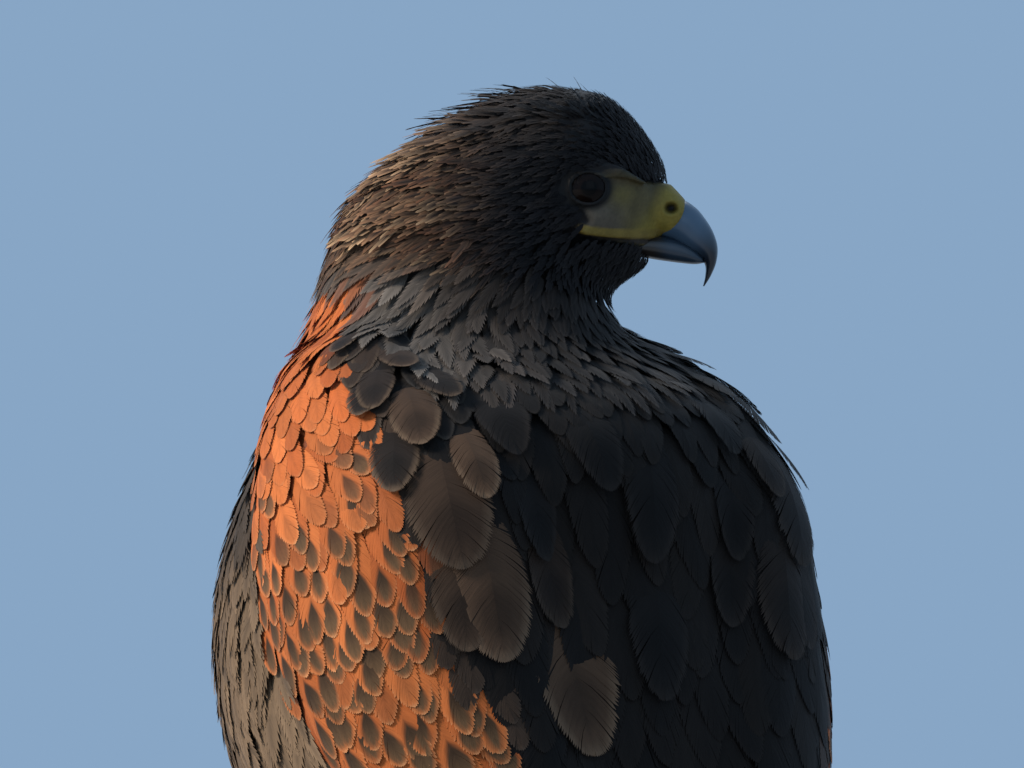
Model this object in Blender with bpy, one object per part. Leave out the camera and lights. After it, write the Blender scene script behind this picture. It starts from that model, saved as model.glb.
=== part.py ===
"""Harris hawk, life size, standing upright with its head turned back over its right shoulder.

The bird faces -Y, its left side is +X and the floor is z = 0. Lengths are in metres.
The feathered body is lofted in four overlapping shapes, made one skin, and parted with thin cuts.
The head is modelled in its own frame, in which u runs along the bill, l to the head's left, z up.
"""

import math

import bmesh
import bpy
import numpy as np
from mathutils import Matrix, Vector

# Driving dimensions
HEAD_TURN = math.radians(125.0)
HEAD_MIDLINE = 0.0135
CULMEN_CHORD = 0.0255
BILL_BASE_U, BILL_BASE_Z = 0.0516, 0.4108
EYE_RADIUS = 0.0083
EYE_U, EYE_Z = 0.0218, 0.4146
EYE_OFFSET = 0.0163
ORBIT_AHEAD, ORBIT_OFFSET = 0.001, 0.0268
ORBIT_RADII = (0.0095, 0.0045, 0.0072)
TAIL_LENGTH = 0.222
TAIL_SLOPE = math.radians(45.5)
FOOT_SPREAD = 0.034
FOOT_Y = -0.006
TOE_RADIUS = 0.0043
GAP = 0.0003
SIDES = (("left", 1.0), ("right", -1.0))

# Where the body is parted: the plane between head and neck, the one below the neck, and the box of a thigh
THROAT_U, THROAT_Z = -0.008, 0.396
THROAT_LEAN, THROAT_RISE = 0.30, 0.954
COLLAR_HEIGHT = 0.362
HIP_X, HIP_Y, HIP_Z = 0.045, -0.011, 0.070
HIP_SIZE = Vector((0.074, 0.098, 0.160))
SLAB_SIZE = 0.3

# Resolution, and the roundness of the body's sections
SKIN_VOXEL = 0.0032
SKIN_TRIANGLES = 2200
WING_POINTS = 7
TAIL_POINTS = 7
BODY_POWER = 2.25

# The head's frame
FACING = Vector((-math.sin(HEAD_TURN), -math.cos(HEAD_TURN), 0.0))
HEAD_LEFT = Vector((-FACING.y, FACING.x, 0.0))
UP = Vector((0.0, 0.0, 1.0))


def head_point(u, l, z):
    """A point of the head's frame, with l measured from the head's midline."""
    return FACING * u + HEAD_LEFT * (l + HEAD_MIDLINE) + UP * z


def clear_scene():
    for obj in list(bpy.data.objects):
        bpy.data.objects.remove(obj)


def material(name, colour, roughness, metallic=0.0):
    made = bpy.data.materials.new(name)
    made.use_nodes = True
    shader = made.node_tree.nodes["Principled BSDF"]
    shader.inputs["Base Color"].default_value = (*colour, 1.0)
    shader.inputs["Roughness"].default_value = roughness
    shader.inputs["Metallic"].default_value = metallic
    return made


def smooth_rows(rows, steps):
    """Rows of numbers with Catmull-Rom rows between them, steps to each gap."""
    rows = np.array(rows, float)
    padded = np.vstack([2 * rows[0] - rows[1], rows, 2 * rows[-1] - rows[-2]])
    made = []
    for i in range(1, len(padded) - 2):
        before, start, end, after = padded[i - 1 : i + 3]
        for step in range(steps):
            t = step / steps
            made.append(
                0.5
                * (
                    2 * start
                    + (end - before) * t
                    + (2 * before - 5 * start + 4 * end - after) * t * t
                    + (3 * start - before - 3 * end + after) * t**3
                )
            )
    made.append(rows[-1])
    return np.array(made)


def ring(bm, centre, side, up, half_side, half_up, half_down, points, power):
    """An egg-shaped section: a superellipse whose upper and lower halves differ."""
    verts = []
    for k in range(points):
        angle = 2 * math.pi * k / points
        deep = half_up if angle < math.pi else half_down
        place, _ = superellipse(angle, half_side, deep, power)
        verts.append(bm.verts.new(centre + side * place.x + up * place.y))
    return verts


def skin_rings(bm, rings):
    """Joins rings of vertices with quads and closes both ends."""
    for first, second in zip(rings, rings[1:]):
        for k in range(len(first)):
            n = (k + 1) % len(first)
            bm.faces.new((first[k], first[n], second[n], second[k]))
    bm.faces.new(rings[0][::-1])
    bm.faces.new(rings[-1])
    bmesh.ops.recalc_face_normals(bm, faces=bm.faces)


def object_from(bm, name, finish=None, helper=False):
    # Flat triangles keep a piece and the clearance cut round it the same shape.
    bmesh.ops.triangulate(bm, faces=bm.faces)
    mesh = bpy.data.meshes.new(name)
    bm.to_mesh(mesh)
    bm.free()
    mesh.shade_smooth()
    obj = bpy.data.objects.new(name, mesh)
    bpy.context.scene.collection.objects.link(obj)
    if finish:
        mesh.materials.append(finish)
    if helper:
        hide(obj)
    return obj


def hide(obj):
    obj.hide_render = True
    obj.display_type = "WIRE"


def loft(name, rows, side, finish=None, steps=3, points=24, power=2.15, helper=False, facing=None):
    """A closed body through rows of (x, y, z, half side, half up, half down).

    side is the direction of each section's width. Its up direction is square to that and to the path,
    or to the direction in facing, if that is given.
    """
    table = smooth_rows(rows, steps)
    tangents = np.gradient(table[:, :3], axis=0)
    bm = bmesh.new()
    rings = []
    for row, tangent in zip(table, tangents):
        along = facing or Vector(tangent).normalized()
        across = (side - along * side.dot(along)).normalized()
        over = along.cross(across)
        rings.append(ring(bm, Vector(row[:3]), across, over, *row[3:6], points, power))
    skin_rings(bm, rings)
    return object_from(bm, name, finish, helper)


def evaluated_copy(obj, name):
    """The object as its modifiers leave it, as a new mesh."""
    graph = bpy.context.evaluated_depsgraph_get()
    mesh = bpy.data.meshes.new_from_object(obj.evaluated_get(graph))
    mesh.name = name
    return mesh


def boolean(obj, cutter, operation):
    modifier = obj.modifiers.new(f"{operation.lower()}_{cutter.name}", "BOOLEAN")
    modifier.operation = operation
    modifier.object = cutter
    modifier.solver = "EXACT"


def grown(obj, distance):
    """A hidden copy of obj, with each vertex moved out by distance, to cut a clearance."""
    mesh = evaluated_copy(obj, obj.name + "_clearance")
    normals = [v.normal.copy() for v in mesh.vertices]
    for vertex, normal in zip(mesh.vertices, normals):
        vertex.co += normal * distance
    copy = bpy.data.objects.new(obj.name + "_clearance", mesh)
    copy.matrix_world = obj.matrix_world
    bpy.context.scene.collection.objects.link(copy)
    hide(copy)
    return copy


def block(name, centre, size, tilt=None):
    """A hidden box that bounds a region. tilt is the direction its top faces."""
    bm = bmesh.new()
    bmesh.ops.create_cube(bm, size=1.0)
    bmesh.ops.scale(bm, vec=size, verts=bm.verts)
    if tilt is not None:
        turn = UP.rotation_difference(tilt).to_matrix()
        bmesh.ops.rotate(bm, verts=bm.verts, matrix=turn)
    bmesh.ops.translate(bm, vec=centre, verts=bm.verts)
    return object_from(bm, name, helper=True)


# The feathered body

def trunk_shape():
    # y, z, half width, back half depth, breast half depth
    stations = [
        (0.090, 0.124, 0.010, 0.005, 0.008),
        (0.080, 0.138, 0.020, 0.011, 0.016),
        (0.066, 0.156, 0.034, 0.022, 0.034),
        (0.046, 0.182, 0.054, 0.038, 0.060),
        (0.024, 0.212, 0.071, 0.055, 0.080),
        (0.007, 0.242, 0.084, 0.070, 0.080),
        (-0.001, 0.270, 0.089, 0.074, 0.074),
        (-0.005, 0.298, 0.087, 0.073, 0.070),
        (-0.004, 0.326, 0.080, 0.070, 0.064),
        (-0.005, 0.348, 0.069, 0.062, 0.058),
        (-0.011, 0.364, 0.054, 0.045, 0.046),
        (-0.014, 0.380, 0.028, 0.024, 0.026),
    ]
    rows = [(0.0, y, z, a, back, breast) for y, z, a, back, breast in stations]
    side = Vector((1, 0, 0))
    return loft("trunk_shape", rows, side, points=32, power=BODY_POWER, helper=True, facing=UP)


def neck_shape():
    # u, l, z, half width along u, half width along l
    stations = [
        (-0.011, 0.000, 0.330, 0.045, 0.036),
        (-0.012, 0.000, 0.350, 0.0565, 0.042),
        (-0.012, 0.000, 0.368, 0.0510, 0.040),
        (-0.014, 0.000, 0.382, 0.0440, 0.0355),
        (-0.013, 0.000, 0.395, 0.0420, 0.033),
        (-0.010, 0.000, 0.408, 0.0400, 0.030),
        (-0.004, 0.000, 0.422, 0.0340, 0.026),
        (0.002, 0.000, 0.434, 0.0250, 0.018),
        (0.006, 0.000, 0.442, 0.0120, 0.009),
    ]
    rows = [(*head_point(u, l, z), ru, rl, rl) for u, l, z, ru, rl in stations]
    return loft("neck_shape", rows, FACING, points=28, helper=True, facing=UP)


def head_shape():
    # u, crown height, jaw height, half width
    stations = [
        (-0.024, 0.430, 0.398, 0.016),
        (-0.012, 0.4405, 0.388, 0.0235),
        (0.004, 0.4465, 0.384, 0.0270),
        (0.017, 0.4460, 0.381, 0.0270),
        (0.027, 0.4425, 0.382, 0.0235),
        (0.035, 0.4355, 0.3875, 0.0175),
        (0.0405, 0.4285, 0.3925, 0.0135),
        (0.0445, 0.4215, 0.3955, 0.0105),
        (0.0475, 0.4140, 0.3985, 0.0075),
    ]
    rows = []
    for u, crown, jaw, half in stations:
        tall = (crown - jaw) / 2
        rows.append((*head_point(u, 0.0, jaw + tall), half, tall, tall))
    return loft("head_shape", rows, HEAD_LEFT, points=28, power=2.2, helper=True, facing=FACING)


def thigh_shape(name, sign):
    # offset from the midline, y, z, half width, half depth
    stations = [
        (0.034, 0.000, 0.226, 0.034, 0.056),
        (0.037, -0.003, 0.197, 0.036, 0.053),
        (0.040, -0.008, 0.168, 0.0310, 0.0435),
        (0.0395, -0.006, 0.142, 0.0245, 0.0330),
        (0.038, 0.002, 0.119, 0.0182, 0.0230),
        (0.0365, 0.010, 0.100, 0.0135, 0.0155),
        (0.036, 0.013, 0.087, 0.0115, 0.0125),
    ]
    rows = [(sign * x, y, z, a, b, b) for x, y, z, a, b in stations]
    return loft(name, rows, Vector((1, 0, 0)), points=20, helper=True)


def feathered_skin():
    """The four shapes of the body as one closed skin."""
    shapes = [trunk_shape(), neck_shape(), head_shape()]
    shapes += [thigh_shape(f"thigh_shape_{side}", sign) for side, sign in SIDES]
    bm = bmesh.new()
    for shape in shapes:
        bm.from_mesh(shape.data)
    skin = object_from(bm, "feathered_skin", helper=True)
    remesh = skin.modifiers.new("one_skin", "REMESH")
    remesh.mode = "VOXEL"
    remesh.voxel_size = SKIN_VOXEL
    relax = skin.modifiers.new("relax", "SMOOTH")
    relax.factor = 0.5
    relax.iterations = 8
    whole = evaluated_copy(skin, "feathered_body")
    whole.calc_loop_triangles()
    body = bpy.data.objects.new("feathered_body", whole)
    bpy.context.scene.collection.objects.link(body)
    hide(body)
    thin = body.modifiers.new("thin", "DECIMATE")
    thin.ratio = SKIN_TRIANGLES / len(whole.loop_triangles)
    return body


def region(body, name, finish, *steps):
    """A node cut from the body: steps are pairs of a Boolean operation and its cutter."""
    mesh = evaluated_copy(body, name)
    mesh.materials.clear()
    mesh.materials.append(finish)
    node = bpy.data.objects.new(name, mesh)
    bpy.context.scene.collection.objects.link(node)
    for operation, cutter in steps:
        boolean(node, cutter, operation)
    return node


# The wings

def wing(name, sign, finish):
    """A folded wing: a thick shell round the flank that runs out as a blade over the tail."""
    # z, y of the section's centre, half width, half depth behind it, half depth ahead of it,
    # where on the section the wing starts and ends in degrees from the side, thickness
    stations = [
        (0.374, -0.013, 0.0480, 0.036, 0.040, -40, 20, 0.006),
        (0.366, -0.012, 0.0600, 0.046, 0.047, -46, 36, 0.014),
        (0.352, -0.006, 0.0725, 0.065, 0.058, -42, 52, 0.018),
        (0.326, -0.003, 0.0870, 0.078, 0.068, -16, 66, 0.021),
        (0.298, -0.004, 0.0940, 0.081, 0.072, -4, 72, 0.021),
        (0.268, -0.001, 0.0965, 0.082, 0.075, 6, 75, 0.021),
        (0.240, 0.008, 0.0905, 0.079, 0.075, 15, 77, 0.019),
        (0.208, 0.028, 0.0770, 0.067, 0.065, 18, 80, 0.016),
        (0.176, 0.052, 0.0610, 0.056, 0.055, 18, 82, 0.013),
        (0.146, 0.078, 0.0465, 0.047, 0.045, 14, 83, 0.010),
        (0.120, 0.104, 0.0350, 0.036, 0.035, 10, 82, 0.007),
        (0.100, 0.130, 0.0250, 0.024, 0.024, 12, 78, 0.005),
        (0.090, 0.146, 0.0170, 0.013, 0.013, 22, 70, 0.0035),
    ]
    bm = bmesh.new()
    rings = []
    for z, y, wide, behind, ahead, start, end, thick in smooth_rows(stations, 2):
        outer, inner = [], []
        for k in range(WING_POINTS + 1):
            share = -math.cos(math.pi * k / WING_POINTS)
            angle = math.radians(start + (end - start) * (1 + share) / 2)
            deep = behind if angle > 0 else ahead
            place, out = superellipse(angle, wide, deep, BODY_POWER)
            lens = math.sqrt(max(0.0, 1 - abs(share) ** 2.6))
            for side, depth in ((outer, thick / 2 * (1 - lens)), (inner, thick / 2 * (1 + lens))):
                level = place - out * depth
                side.append(Vector((sign * level.x, y + level.y, z)))
        rings.append([bm.verts.new(place) for place in outer + inner[-2:0:-1]])
    skin_rings(bm, rings)
    return object_from(bm, name, finish)


def superellipse(angle, wide, deep, power):
    """The point of a superellipse at an angle, and the direction its outline faces there."""
    c, s = math.cos(angle), math.sin(angle)
    place = Vector(
        (
            wide * math.copysign(abs(c) ** (2 / power), c),
            deep * math.copysign(abs(s) ** (2 / power), s),
            0.0,
        )
    )
    steep = 2 - 2 / power
    out = Vector(
        (
            math.copysign(abs(c) ** steep, c) / wide,
            math.copysign(abs(s) ** steep, s) / deep,
            0.0,
        )
    )
    return place, out.normalized()


# The tail

def tail(finish):
    """The closed tail: a shallow arched fan, a little wider at its end."""
    # share of the length, half width, thickness, arch
    stations = [
        (0.0, 0.022, 0.013, 0.004),
        (0.25, 0.029, 0.012, 0.006),
        (0.5, 0.034, 0.010, 0.007),
        (0.75, 0.039, 0.007, 0.008),
        (0.92, 0.041, 0.005, 0.008),
        (0.975, 0.037, 0.0038, 0.006),
        (1.0, 0.026, 0.0028, 0.003),
    ]
    root = Vector((0.0, 0.066, 0.167))
    along = Vector((0.0, math.cos(TAIL_SLOPE), -math.sin(TAIL_SLOPE)))
    over = Vector((0.0, math.sin(TAIL_SLOPE), math.cos(TAIL_SLOPE)))
    bm = bmesh.new()
    rings = []
    for share, half, thick, arch in smooth_rows(stations, 2):
        outer, inner = [], []
        for k in range(TAIL_POINTS + 1):
            q = -math.cos(math.pi * k / TAIL_POINTS)
            level = root + along * share * TAIL_LENGTH - over * arch * q * q
            half_thick = thick / 2 * math.sqrt(max(0.0, 1 - abs(q) ** 3))
            outer.append(level + Vector((half * q, 0, 0)) + over * half_thick)
            inner.append(level + Vector((half * q, 0, 0)) - over * half_thick)
        rings.append([bm.verts.new(place) for place in outer + inner[-2:0:-1]])
    skin_rings(bm, rings)
    return object_from(bm, "tail", finish)


# The bill, the cere and the eyes

def profile_loft(name, stations, finish, points=12, power=2.2):
    """A body of the head whose sections join a point of its top edge to one of its lower edge.

    stations: top u, top z, lower u, lower z, half width.
    """
    table = smooth_rows(stations, 2)
    bm = bmesh.new()
    rings = []
    for top_u, top_z, low_u, low_z, half in table:
        top, low = head_point(top_u, 0, top_z), head_point(low_u, 0, low_z)
        tall = (top - low).length / 2
        rings.append(
            ring(bm, (top + low) / 2, HEAD_LEFT, (top - low).normalized(), half, tall, tall, points, power)
        )
    skin_rings(bm, rings)
    return object_from(bm, name, finish)


def bill_upper(finish):
    """The hooked upper bill. Its lengths are shares of the culmen's chord."""
    chord = CULMEN_CHORD
    # ahead of and below the top of the bill's base, for the top edge and for the lower edge, and half width
    shares = [
        (-0.02, 0.02, -0.28, 0.410, 0.285),
        (0.09, 0.075, -0.22, 0.440, 0.268),
        (0.178, 0.155, -0.135, 0.475, 0.248),
        (0.292, 0.325, -0.005, 0.545, 0.208),
        (0.357, 0.517, 0.150, 0.622, 0.158),
        (0.345, 0.700, 0.215, 0.735, 0.105),
        (0.280, 0.865, 0.215, 0.870, 0.058),
        (0.205, 0.985, 0.190, 0.985, 0.012),
    ]
    rows = [
        (
            BILL_BASE_U + ahead * chord,
            BILL_BASE_Z - down * chord,
            BILL_BASE_U + low_ahead * chord,
            BILL_BASE_Z - low_down * chord,
            half * chord,
        )
        for ahead, down, low_ahead, low_down, half in shares
    ]
    return profile_loft("bill_upper", rows, finish)


def bill_lower(finish):
    rows = [
        (0.0400, 0.4003, 0.0380, 0.3950, 0.0062),
        (0.0450, 0.3993, 0.0440, 0.3935, 0.0058),
        (0.0495, 0.3975, 0.0495, 0.3923, 0.0048),
        (0.0530, 0.3955, 0.0540, 0.3918, 0.0034),
        (0.0550, 0.3942, 0.0565, 0.3920, 0.0018),
    ]
    return profile_loft("bill_lower", rows, finish)


def cere(finish):
    rows = [
        (0.0435, 0.4195, 0.0385, 0.4010, 0.0098),
        (0.0465, 0.4160, 0.0420, 0.4008, 0.0090),
        (0.0492, 0.4135, 0.0442, 0.4006, 0.0083),
        (0.0512, 0.4115, 0.0450, 0.4006, 0.0077),
    ]
    return profile_loft("cere", rows, finish, points=14)


def ball(name, centre, radii, finish=None, helper=False):
    bm = bmesh.new()
    bmesh.ops.create_uvsphere(bm, u_segments=12, v_segments=8, radius=1.0)
    turn = Matrix((FACING, HEAD_LEFT, UP)).transposed()
    bmesh.ops.scale(bm, vec=Vector(radii), verts=bm.verts)
    bmesh.ops.rotate(bm, verts=bm.verts, matrix=turn)
    bmesh.ops.translate(bm, vec=centre, verts=bm.verts)
    return object_from(bm, name, finish, helper)


# The legs

def tarsus(name, sign, finish):
    rows = [
        (sign * 0.036, 0.0140, 0.1060, 0.0055, 0.0070, 0.0070),
        (sign * 0.036, 0.0145, 0.0900, 0.0062, 0.0076, 0.0076),
        (sign * 0.0358, 0.0115, 0.0760, 0.0050, 0.0066, 0.0066),
        (sign * 0.0352, 0.0070, 0.0520, 0.0046, 0.0060, 0.0060),
        (sign * 0.0345, 0.0010, 0.0270, 0.0050, 0.0060, 0.0060),
        (sign * 0.0340, -0.0030, 0.0150, 0.0058, 0.0064, 0.0064),
    ]
    return loft(name, rows, Vector((1, 0, 0)), finish, steps=1, points=12)


TOES = (
    # name, degrees outward from straight ahead, length to the claw, radius of the claw's arc and of its base
    ("inner", -24.0, 0.033, 0.0125, 0.0029),
    ("middle", 4.0, 0.048, 0.0110, 0.0025),
    ("outer", 32.0, 0.037, 0.0098, 0.0023),
    ("hind", 192.0, 0.027, 0.0135, 0.0031),
)


def toe_direction(sign, degrees):
    angle = math.radians(degrees)
    return Vector((sign * math.sin(angle), -math.cos(angle), 0.0))


def foot_hub(sign):
    return Vector((sign * FOOT_SPREAD, FOOT_Y, 0.0))


def toe_path(sign, degrees, length):
    """Points of a toe's middle line, from the hub out to where the claw leaves it, and their radii."""
    way = toe_direction(sign, degrees)
    low = TOE_RADIUS * 0.86
    heights = ((0.0, 0.0105, 1.15), (0.2, 0.0088, 1.06), (0.5, low, 1.04),
               (0.68, low + 0.0010, 0.86), (0.86, low, 0.94), (1.0, low + 0.0006, 0.76))
    return [(foot_hub(sign) + way * share * length + UP * height, scale * TOE_RADIUS)
            for share, height, scale in heights]


def foot(name, sign, finish):
    """The four toes joined at the hub, with their soles cut flat on the floor."""
    whole = ball(name, foot_hub(sign) + Vector((0, 0.0005, 0.0095)), (0.0072, 0.0068, 0.0072), finish)
    for toe, degrees, length, _, _ in TOES:
        path = toe_path(sign, degrees, length)
        rows = [(*place, radius, radius, radius) for place, radius in path]
        across = toe_direction(sign, degrees + 90)
        part = loft(f"{name}_{toe}_toe", rows, across, steps=1, points=8, helper=True)
        boolean(whole, part, "UNION")
    below = block(f"{name}_floor", Vector((sign * FOOT_SPREAD, 0, -0.05)), Vector((0.2, 0.2, 0.1)))
    boolean(whole, below, "DIFFERENCE")
    return whole


def claw(name, sign, degrees, length, arc, thick, finish):
    """A talon: a tapering horn along a quarter circle that bends down to the floor."""
    way = toe_direction(sign, degrees)
    path = toe_path(sign, degrees, length)
    start = path[-1][0] - way * 0.0012
    turn_start, turn_end = math.radians(-28), math.radians(62)
    rows = []
    for k in range(6):
        share = k / 5
        angle = turn_start + (turn_end - turn_start) * share
        ahead = arc * (math.sin(angle) - math.sin(turn_start))
        rise = arc * (math.cos(angle) - math.cos(turn_start))
        radius = max(0.00028, thick * (1 - share) ** 0.85)
        place = start + way * ahead + UP * rise
        rows.append((*place, radius * 0.72, radius, radius))
    across = toe_direction(sign, degrees + 90)
    made = loft(name, rows, across, finish, steps=1, points=6)
    lowest = min(v.co.z for v in made.data.vertices)
    lift = max(0.0, GAP - lowest)
    made.data.transform(Matrix.Translation((0, 0, lift)))
    return made


def centre_on_base():
    """Moves everything so that the origin is the middle of the base of the bird's bounding box."""
    graph = bpy.context.evaluated_depsgraph_get()
    low, high = [math.inf] * 3, [-math.inf] * 3
    for obj in bpy.data.objects:
        if obj.hide_render:
            continue
        shape = obj.evaluated_get(graph)
        for vertex in shape.to_mesh().vertices:
            low = [min(a, b) for a, b in zip(low, vertex.co)]
            high = [max(a, b) for a, b in zip(high, vertex.co)]
        shape.to_mesh_clear()
    base = Vector(((low[0] + high[0]) / 2, (low[1] + high[1]) / 2, low[2]))
    for obj in bpy.data.objects:
        obj.location -= base


def halves(name, centre, way):
    """Large hidden blocks on both sides of a plane that faces way, a gap apart."""
    size = Vector((SLAB_SIZE,) * 3)
    shift = way * ((SLAB_SIZE + GAP) / 2)
    above = block(f"above_{name}", centre + shift, size, way)
    below = block(f"below_{name}", centre - shift, size, way)
    return above, below


def build():
    clear_scene()
    dark = material("dark_brown_feather", (0.050, 0.036, 0.029), 0.75)
    mantle = material("mantle_feather", (0.070, 0.052, 0.042), 0.75)
    rufous = material("rufous_feather", (0.42, 0.15, 0.055), 0.75)
    black = material("tail_feather", (0.030, 0.026, 0.026), 0.6)
    yellow = material("yellow_skin", (0.62, 0.46, 0.09), 0.5)
    horn = material("blue_grey_horn", (0.16, 0.20, 0.25), 0.35)
    talon = material("black_horn", (0.02, 0.02, 0.022), 0.3)
    iris = material("brown_eye", (0.035, 0.018, 0.010), 0.1)

    # Pieces that keep their whole shape
    body = feathered_skin()
    wings = [wing(f"wing_{side}", sign, mantle) for side, sign in SIDES]
    fan = tail(black)
    upper, lower, soft = bill_upper(horn), bill_lower(horn), cere(yellow)
    eyes, orbits = [], []
    for side, sign in SIDES:
        eye_centre = head_point(EYE_U, sign * EYE_OFFSET, EYE_Z)
        eyes.append(ball(f"eye_{side}", eye_centre, (EYE_RADIUS,) * 3, iris))
        orbit_centre = head_point(EYE_U + ORBIT_AHEAD, sign * ORBIT_OFFSET, EYE_Z)
        orbits.append(ball(f"orbit_{side}", orbit_centre, ORBIT_RADII, helper=True))
    shanks = [tarsus(f"tarsus_{side}", sign, yellow) for side, sign in SIDES]
    feet = [foot(f"foot_{side}", sign, yellow) for side, sign in SIDES]

    # Clearances round them
    wing_room = [grown(piece, GAP) for piece in wings]
    tail_room = grown(fan, GAP)
    cere_room, upper_room, lower_room = (grown(piece, GAP) for piece in (soft, upper, lower))
    eye_room = [grown(piece, GAP) for piece in eyes]
    shank_room = [grown(piece, GAP) for piece in shanks]
    foot_room = [grown(piece, GAP) for piece in feet]

    for (side, sign), room in zip(SIDES, foot_room):
        for toe, degrees, length, arc, thick in TOES:
            horn_piece = claw(f"claw_{toe}_{side}", sign, degrees, length, arc, thick, talon)
            boolean(horn_piece, room, "DIFFERENCE")

    # The body in its regions
    throat_way = (FACING * THROAT_LEAN + UP * THROAT_RISE).normalized()
    above_throat, below_throat = halves("throat", head_point(THROAT_U, 0, THROAT_Z), throat_way)
    above_collar, below_collar = halves("collar", UP * COLLAR_HEIGHT, UP)
    hips, hips_room = [], []
    for side, sign in SIDES:
        centre = Vector((sign * HIP_X, HIP_Y, HIP_Z))
        hips.append(block(f"hip_{side}", centre, HIP_SIZE))
        hips_room.append(block(f"hip_room_{side}", centre, HIP_SIZE + Vector((2 * GAP,) * 3)))
    cuts = [("DIFFERENCE", room) for room in wing_room]
    face_cuts = [("DIFFERENCE", room) for room in (*orbits, *eye_room, cere_room, upper_room, lower_room)]
    hip_cuts = [("DIFFERENCE", room) for room in hips_room]
    region(body, "head", dark, ("INTERSECT", above_throat), *face_cuts)
    region(body, "neck", dark, ("INTERSECT", below_throat), ("INTERSECT", above_collar), *cuts)
    region(body, "trunk", dark, ("INTERSECT", below_collar), *cuts, ("DIFFERENCE", tail_room), *hip_cuts)
    for (side, _), hip, room in zip(SIDES, hips, shank_room):
        region(body, f"thigh_{side}", rufous, ("INTERSECT", hip), *cuts, ("DIFFERENCE", room))

    # Room for neighbours in the other pieces
    for piece in wings:
        boolean(piece, tail_room, "DIFFERENCE")
    boolean(lower, upper_room, "DIFFERENCE")
    boolean(upper, cere_room, "DIFFERENCE")
    boolean(lower, cere_room, "DIFFERENCE")
    for piece, room in zip(shanks, foot_room):
        boolean(piece, room, "DIFFERENCE")
    centre_on_base()


build()
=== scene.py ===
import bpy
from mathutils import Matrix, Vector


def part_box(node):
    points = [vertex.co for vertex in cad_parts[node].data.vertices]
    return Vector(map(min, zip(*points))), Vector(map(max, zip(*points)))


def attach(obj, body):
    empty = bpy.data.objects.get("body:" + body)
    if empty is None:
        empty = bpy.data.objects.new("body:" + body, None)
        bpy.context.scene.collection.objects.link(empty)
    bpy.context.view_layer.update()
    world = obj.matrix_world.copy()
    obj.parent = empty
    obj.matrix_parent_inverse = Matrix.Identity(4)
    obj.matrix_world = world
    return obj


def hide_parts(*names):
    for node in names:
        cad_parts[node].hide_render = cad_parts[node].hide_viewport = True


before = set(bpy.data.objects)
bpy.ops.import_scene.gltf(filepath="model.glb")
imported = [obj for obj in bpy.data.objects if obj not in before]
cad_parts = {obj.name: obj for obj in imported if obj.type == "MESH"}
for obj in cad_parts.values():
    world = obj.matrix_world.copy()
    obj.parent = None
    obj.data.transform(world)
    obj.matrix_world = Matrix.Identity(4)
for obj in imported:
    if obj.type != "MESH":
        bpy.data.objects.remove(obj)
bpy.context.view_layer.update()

# Harris hawk: one skin, its plumage, bill, eyes, legs and talons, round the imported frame.
#
# Everything is worked out in the body's own frame, in metres: the bird faces -Y, its left side is +X, the
# floor is z = 0 and the origin is under its body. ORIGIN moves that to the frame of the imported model.
# The head has a frame too: u runs along the bill, l to the head's left from its midline, z up.
# A feather is a vane of barbs along a shaft. It grows from the skin and follows the outer form of the body.

import math

import bmesh
import bpy
import numpy as np
from mathutils import Vector
from mathutils.bvhtree import BVHTree

# Driving dimensions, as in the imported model
HEAD_TURN = math.radians(125.0)
HEAD_MIDLINE = 0.0135
CULMEN_CHORD = 0.0255
EYE_U, EYE_L, EYE_Z = 0.0218, 0.0163, 0.4146
EYE_RADIUS = 0.0083
TAIL_LENGTH = 0.222
TAIL_SLOPE = math.radians(45.5)
TAIL_ROOT = Vector((0.0, 0.066, 0.167))

# How square the sections of the body and the head are: 2 is round
BODY_POWER = 2.25
HEAD_POWER = 2.2

# The photo's scale, for places that were read from it
PIXEL = 0.000295
MIDDLE_X, MIDDLE_Y = 512, 384
MIDDLE_Z = 0.3568

FACING = Vector((-math.sin(HEAD_TURN), -math.cos(HEAD_TURN), 0.0))
HEAD_LEFT = Vector((-FACING.y, FACING.x, 0.0))
UP = Vector((0.0, 0.0, 1.0))
HEAD_AXES = np.array([FACING, HEAD_LEFT, UP])
TO_CAMERA = -HEAD_LEFT
SIDES = (("left", 1.0), ("right", -1.0))

eye_middle = sum((c for side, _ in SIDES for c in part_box(f"eye_{side}")), Vector()) / 4
ORIGIN = eye_middle - (FACING * EYE_U + HEAD_LEFT * HEAD_MIDLINE + UP * EYE_Z)
random = np.random.RandomState(7)


def rgb(red, green, blue):
    """A colour given in the usual 0 to 255 steps, in linear light."""
    share = np.array([red, green, blue]) / 255.0
    return np.where(share <= 0.04045, share / 12.92, ((share + 0.055) / 1.055) ** 2.4)


def step(low, high, value):
    """0 below low, 1 above high and smooth between."""
    share = np.clip((value - low) / (high - low), 0.0, 1.0)
    return share * share * (3 - 2 * share)


def mix(first, second, share):
    return first + (second - first) * share


def unit(vectors):
    return vectors / np.maximum(np.linalg.norm(vectors, axis=-1, keepdims=True), 1e-9)


def head_point(u, l, z):
    return FACING * u + HEAD_LEFT * (l + HEAD_MIDLINE) + UP * z


def head_frame(points):
    """u, l and z of points of the body's frame."""
    turned = points @ HEAD_AXES.T
    return turned[..., 0], turned[..., 1] - HEAD_MIDLINE, turned[..., 2]


def from_photo(x, y):
    """u and z of a place in the photo."""
    return (x - MIDDLE_X) * PIXEL, MIDDLE_Z + (MIDDLE_Y - y) * PIXEL


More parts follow.
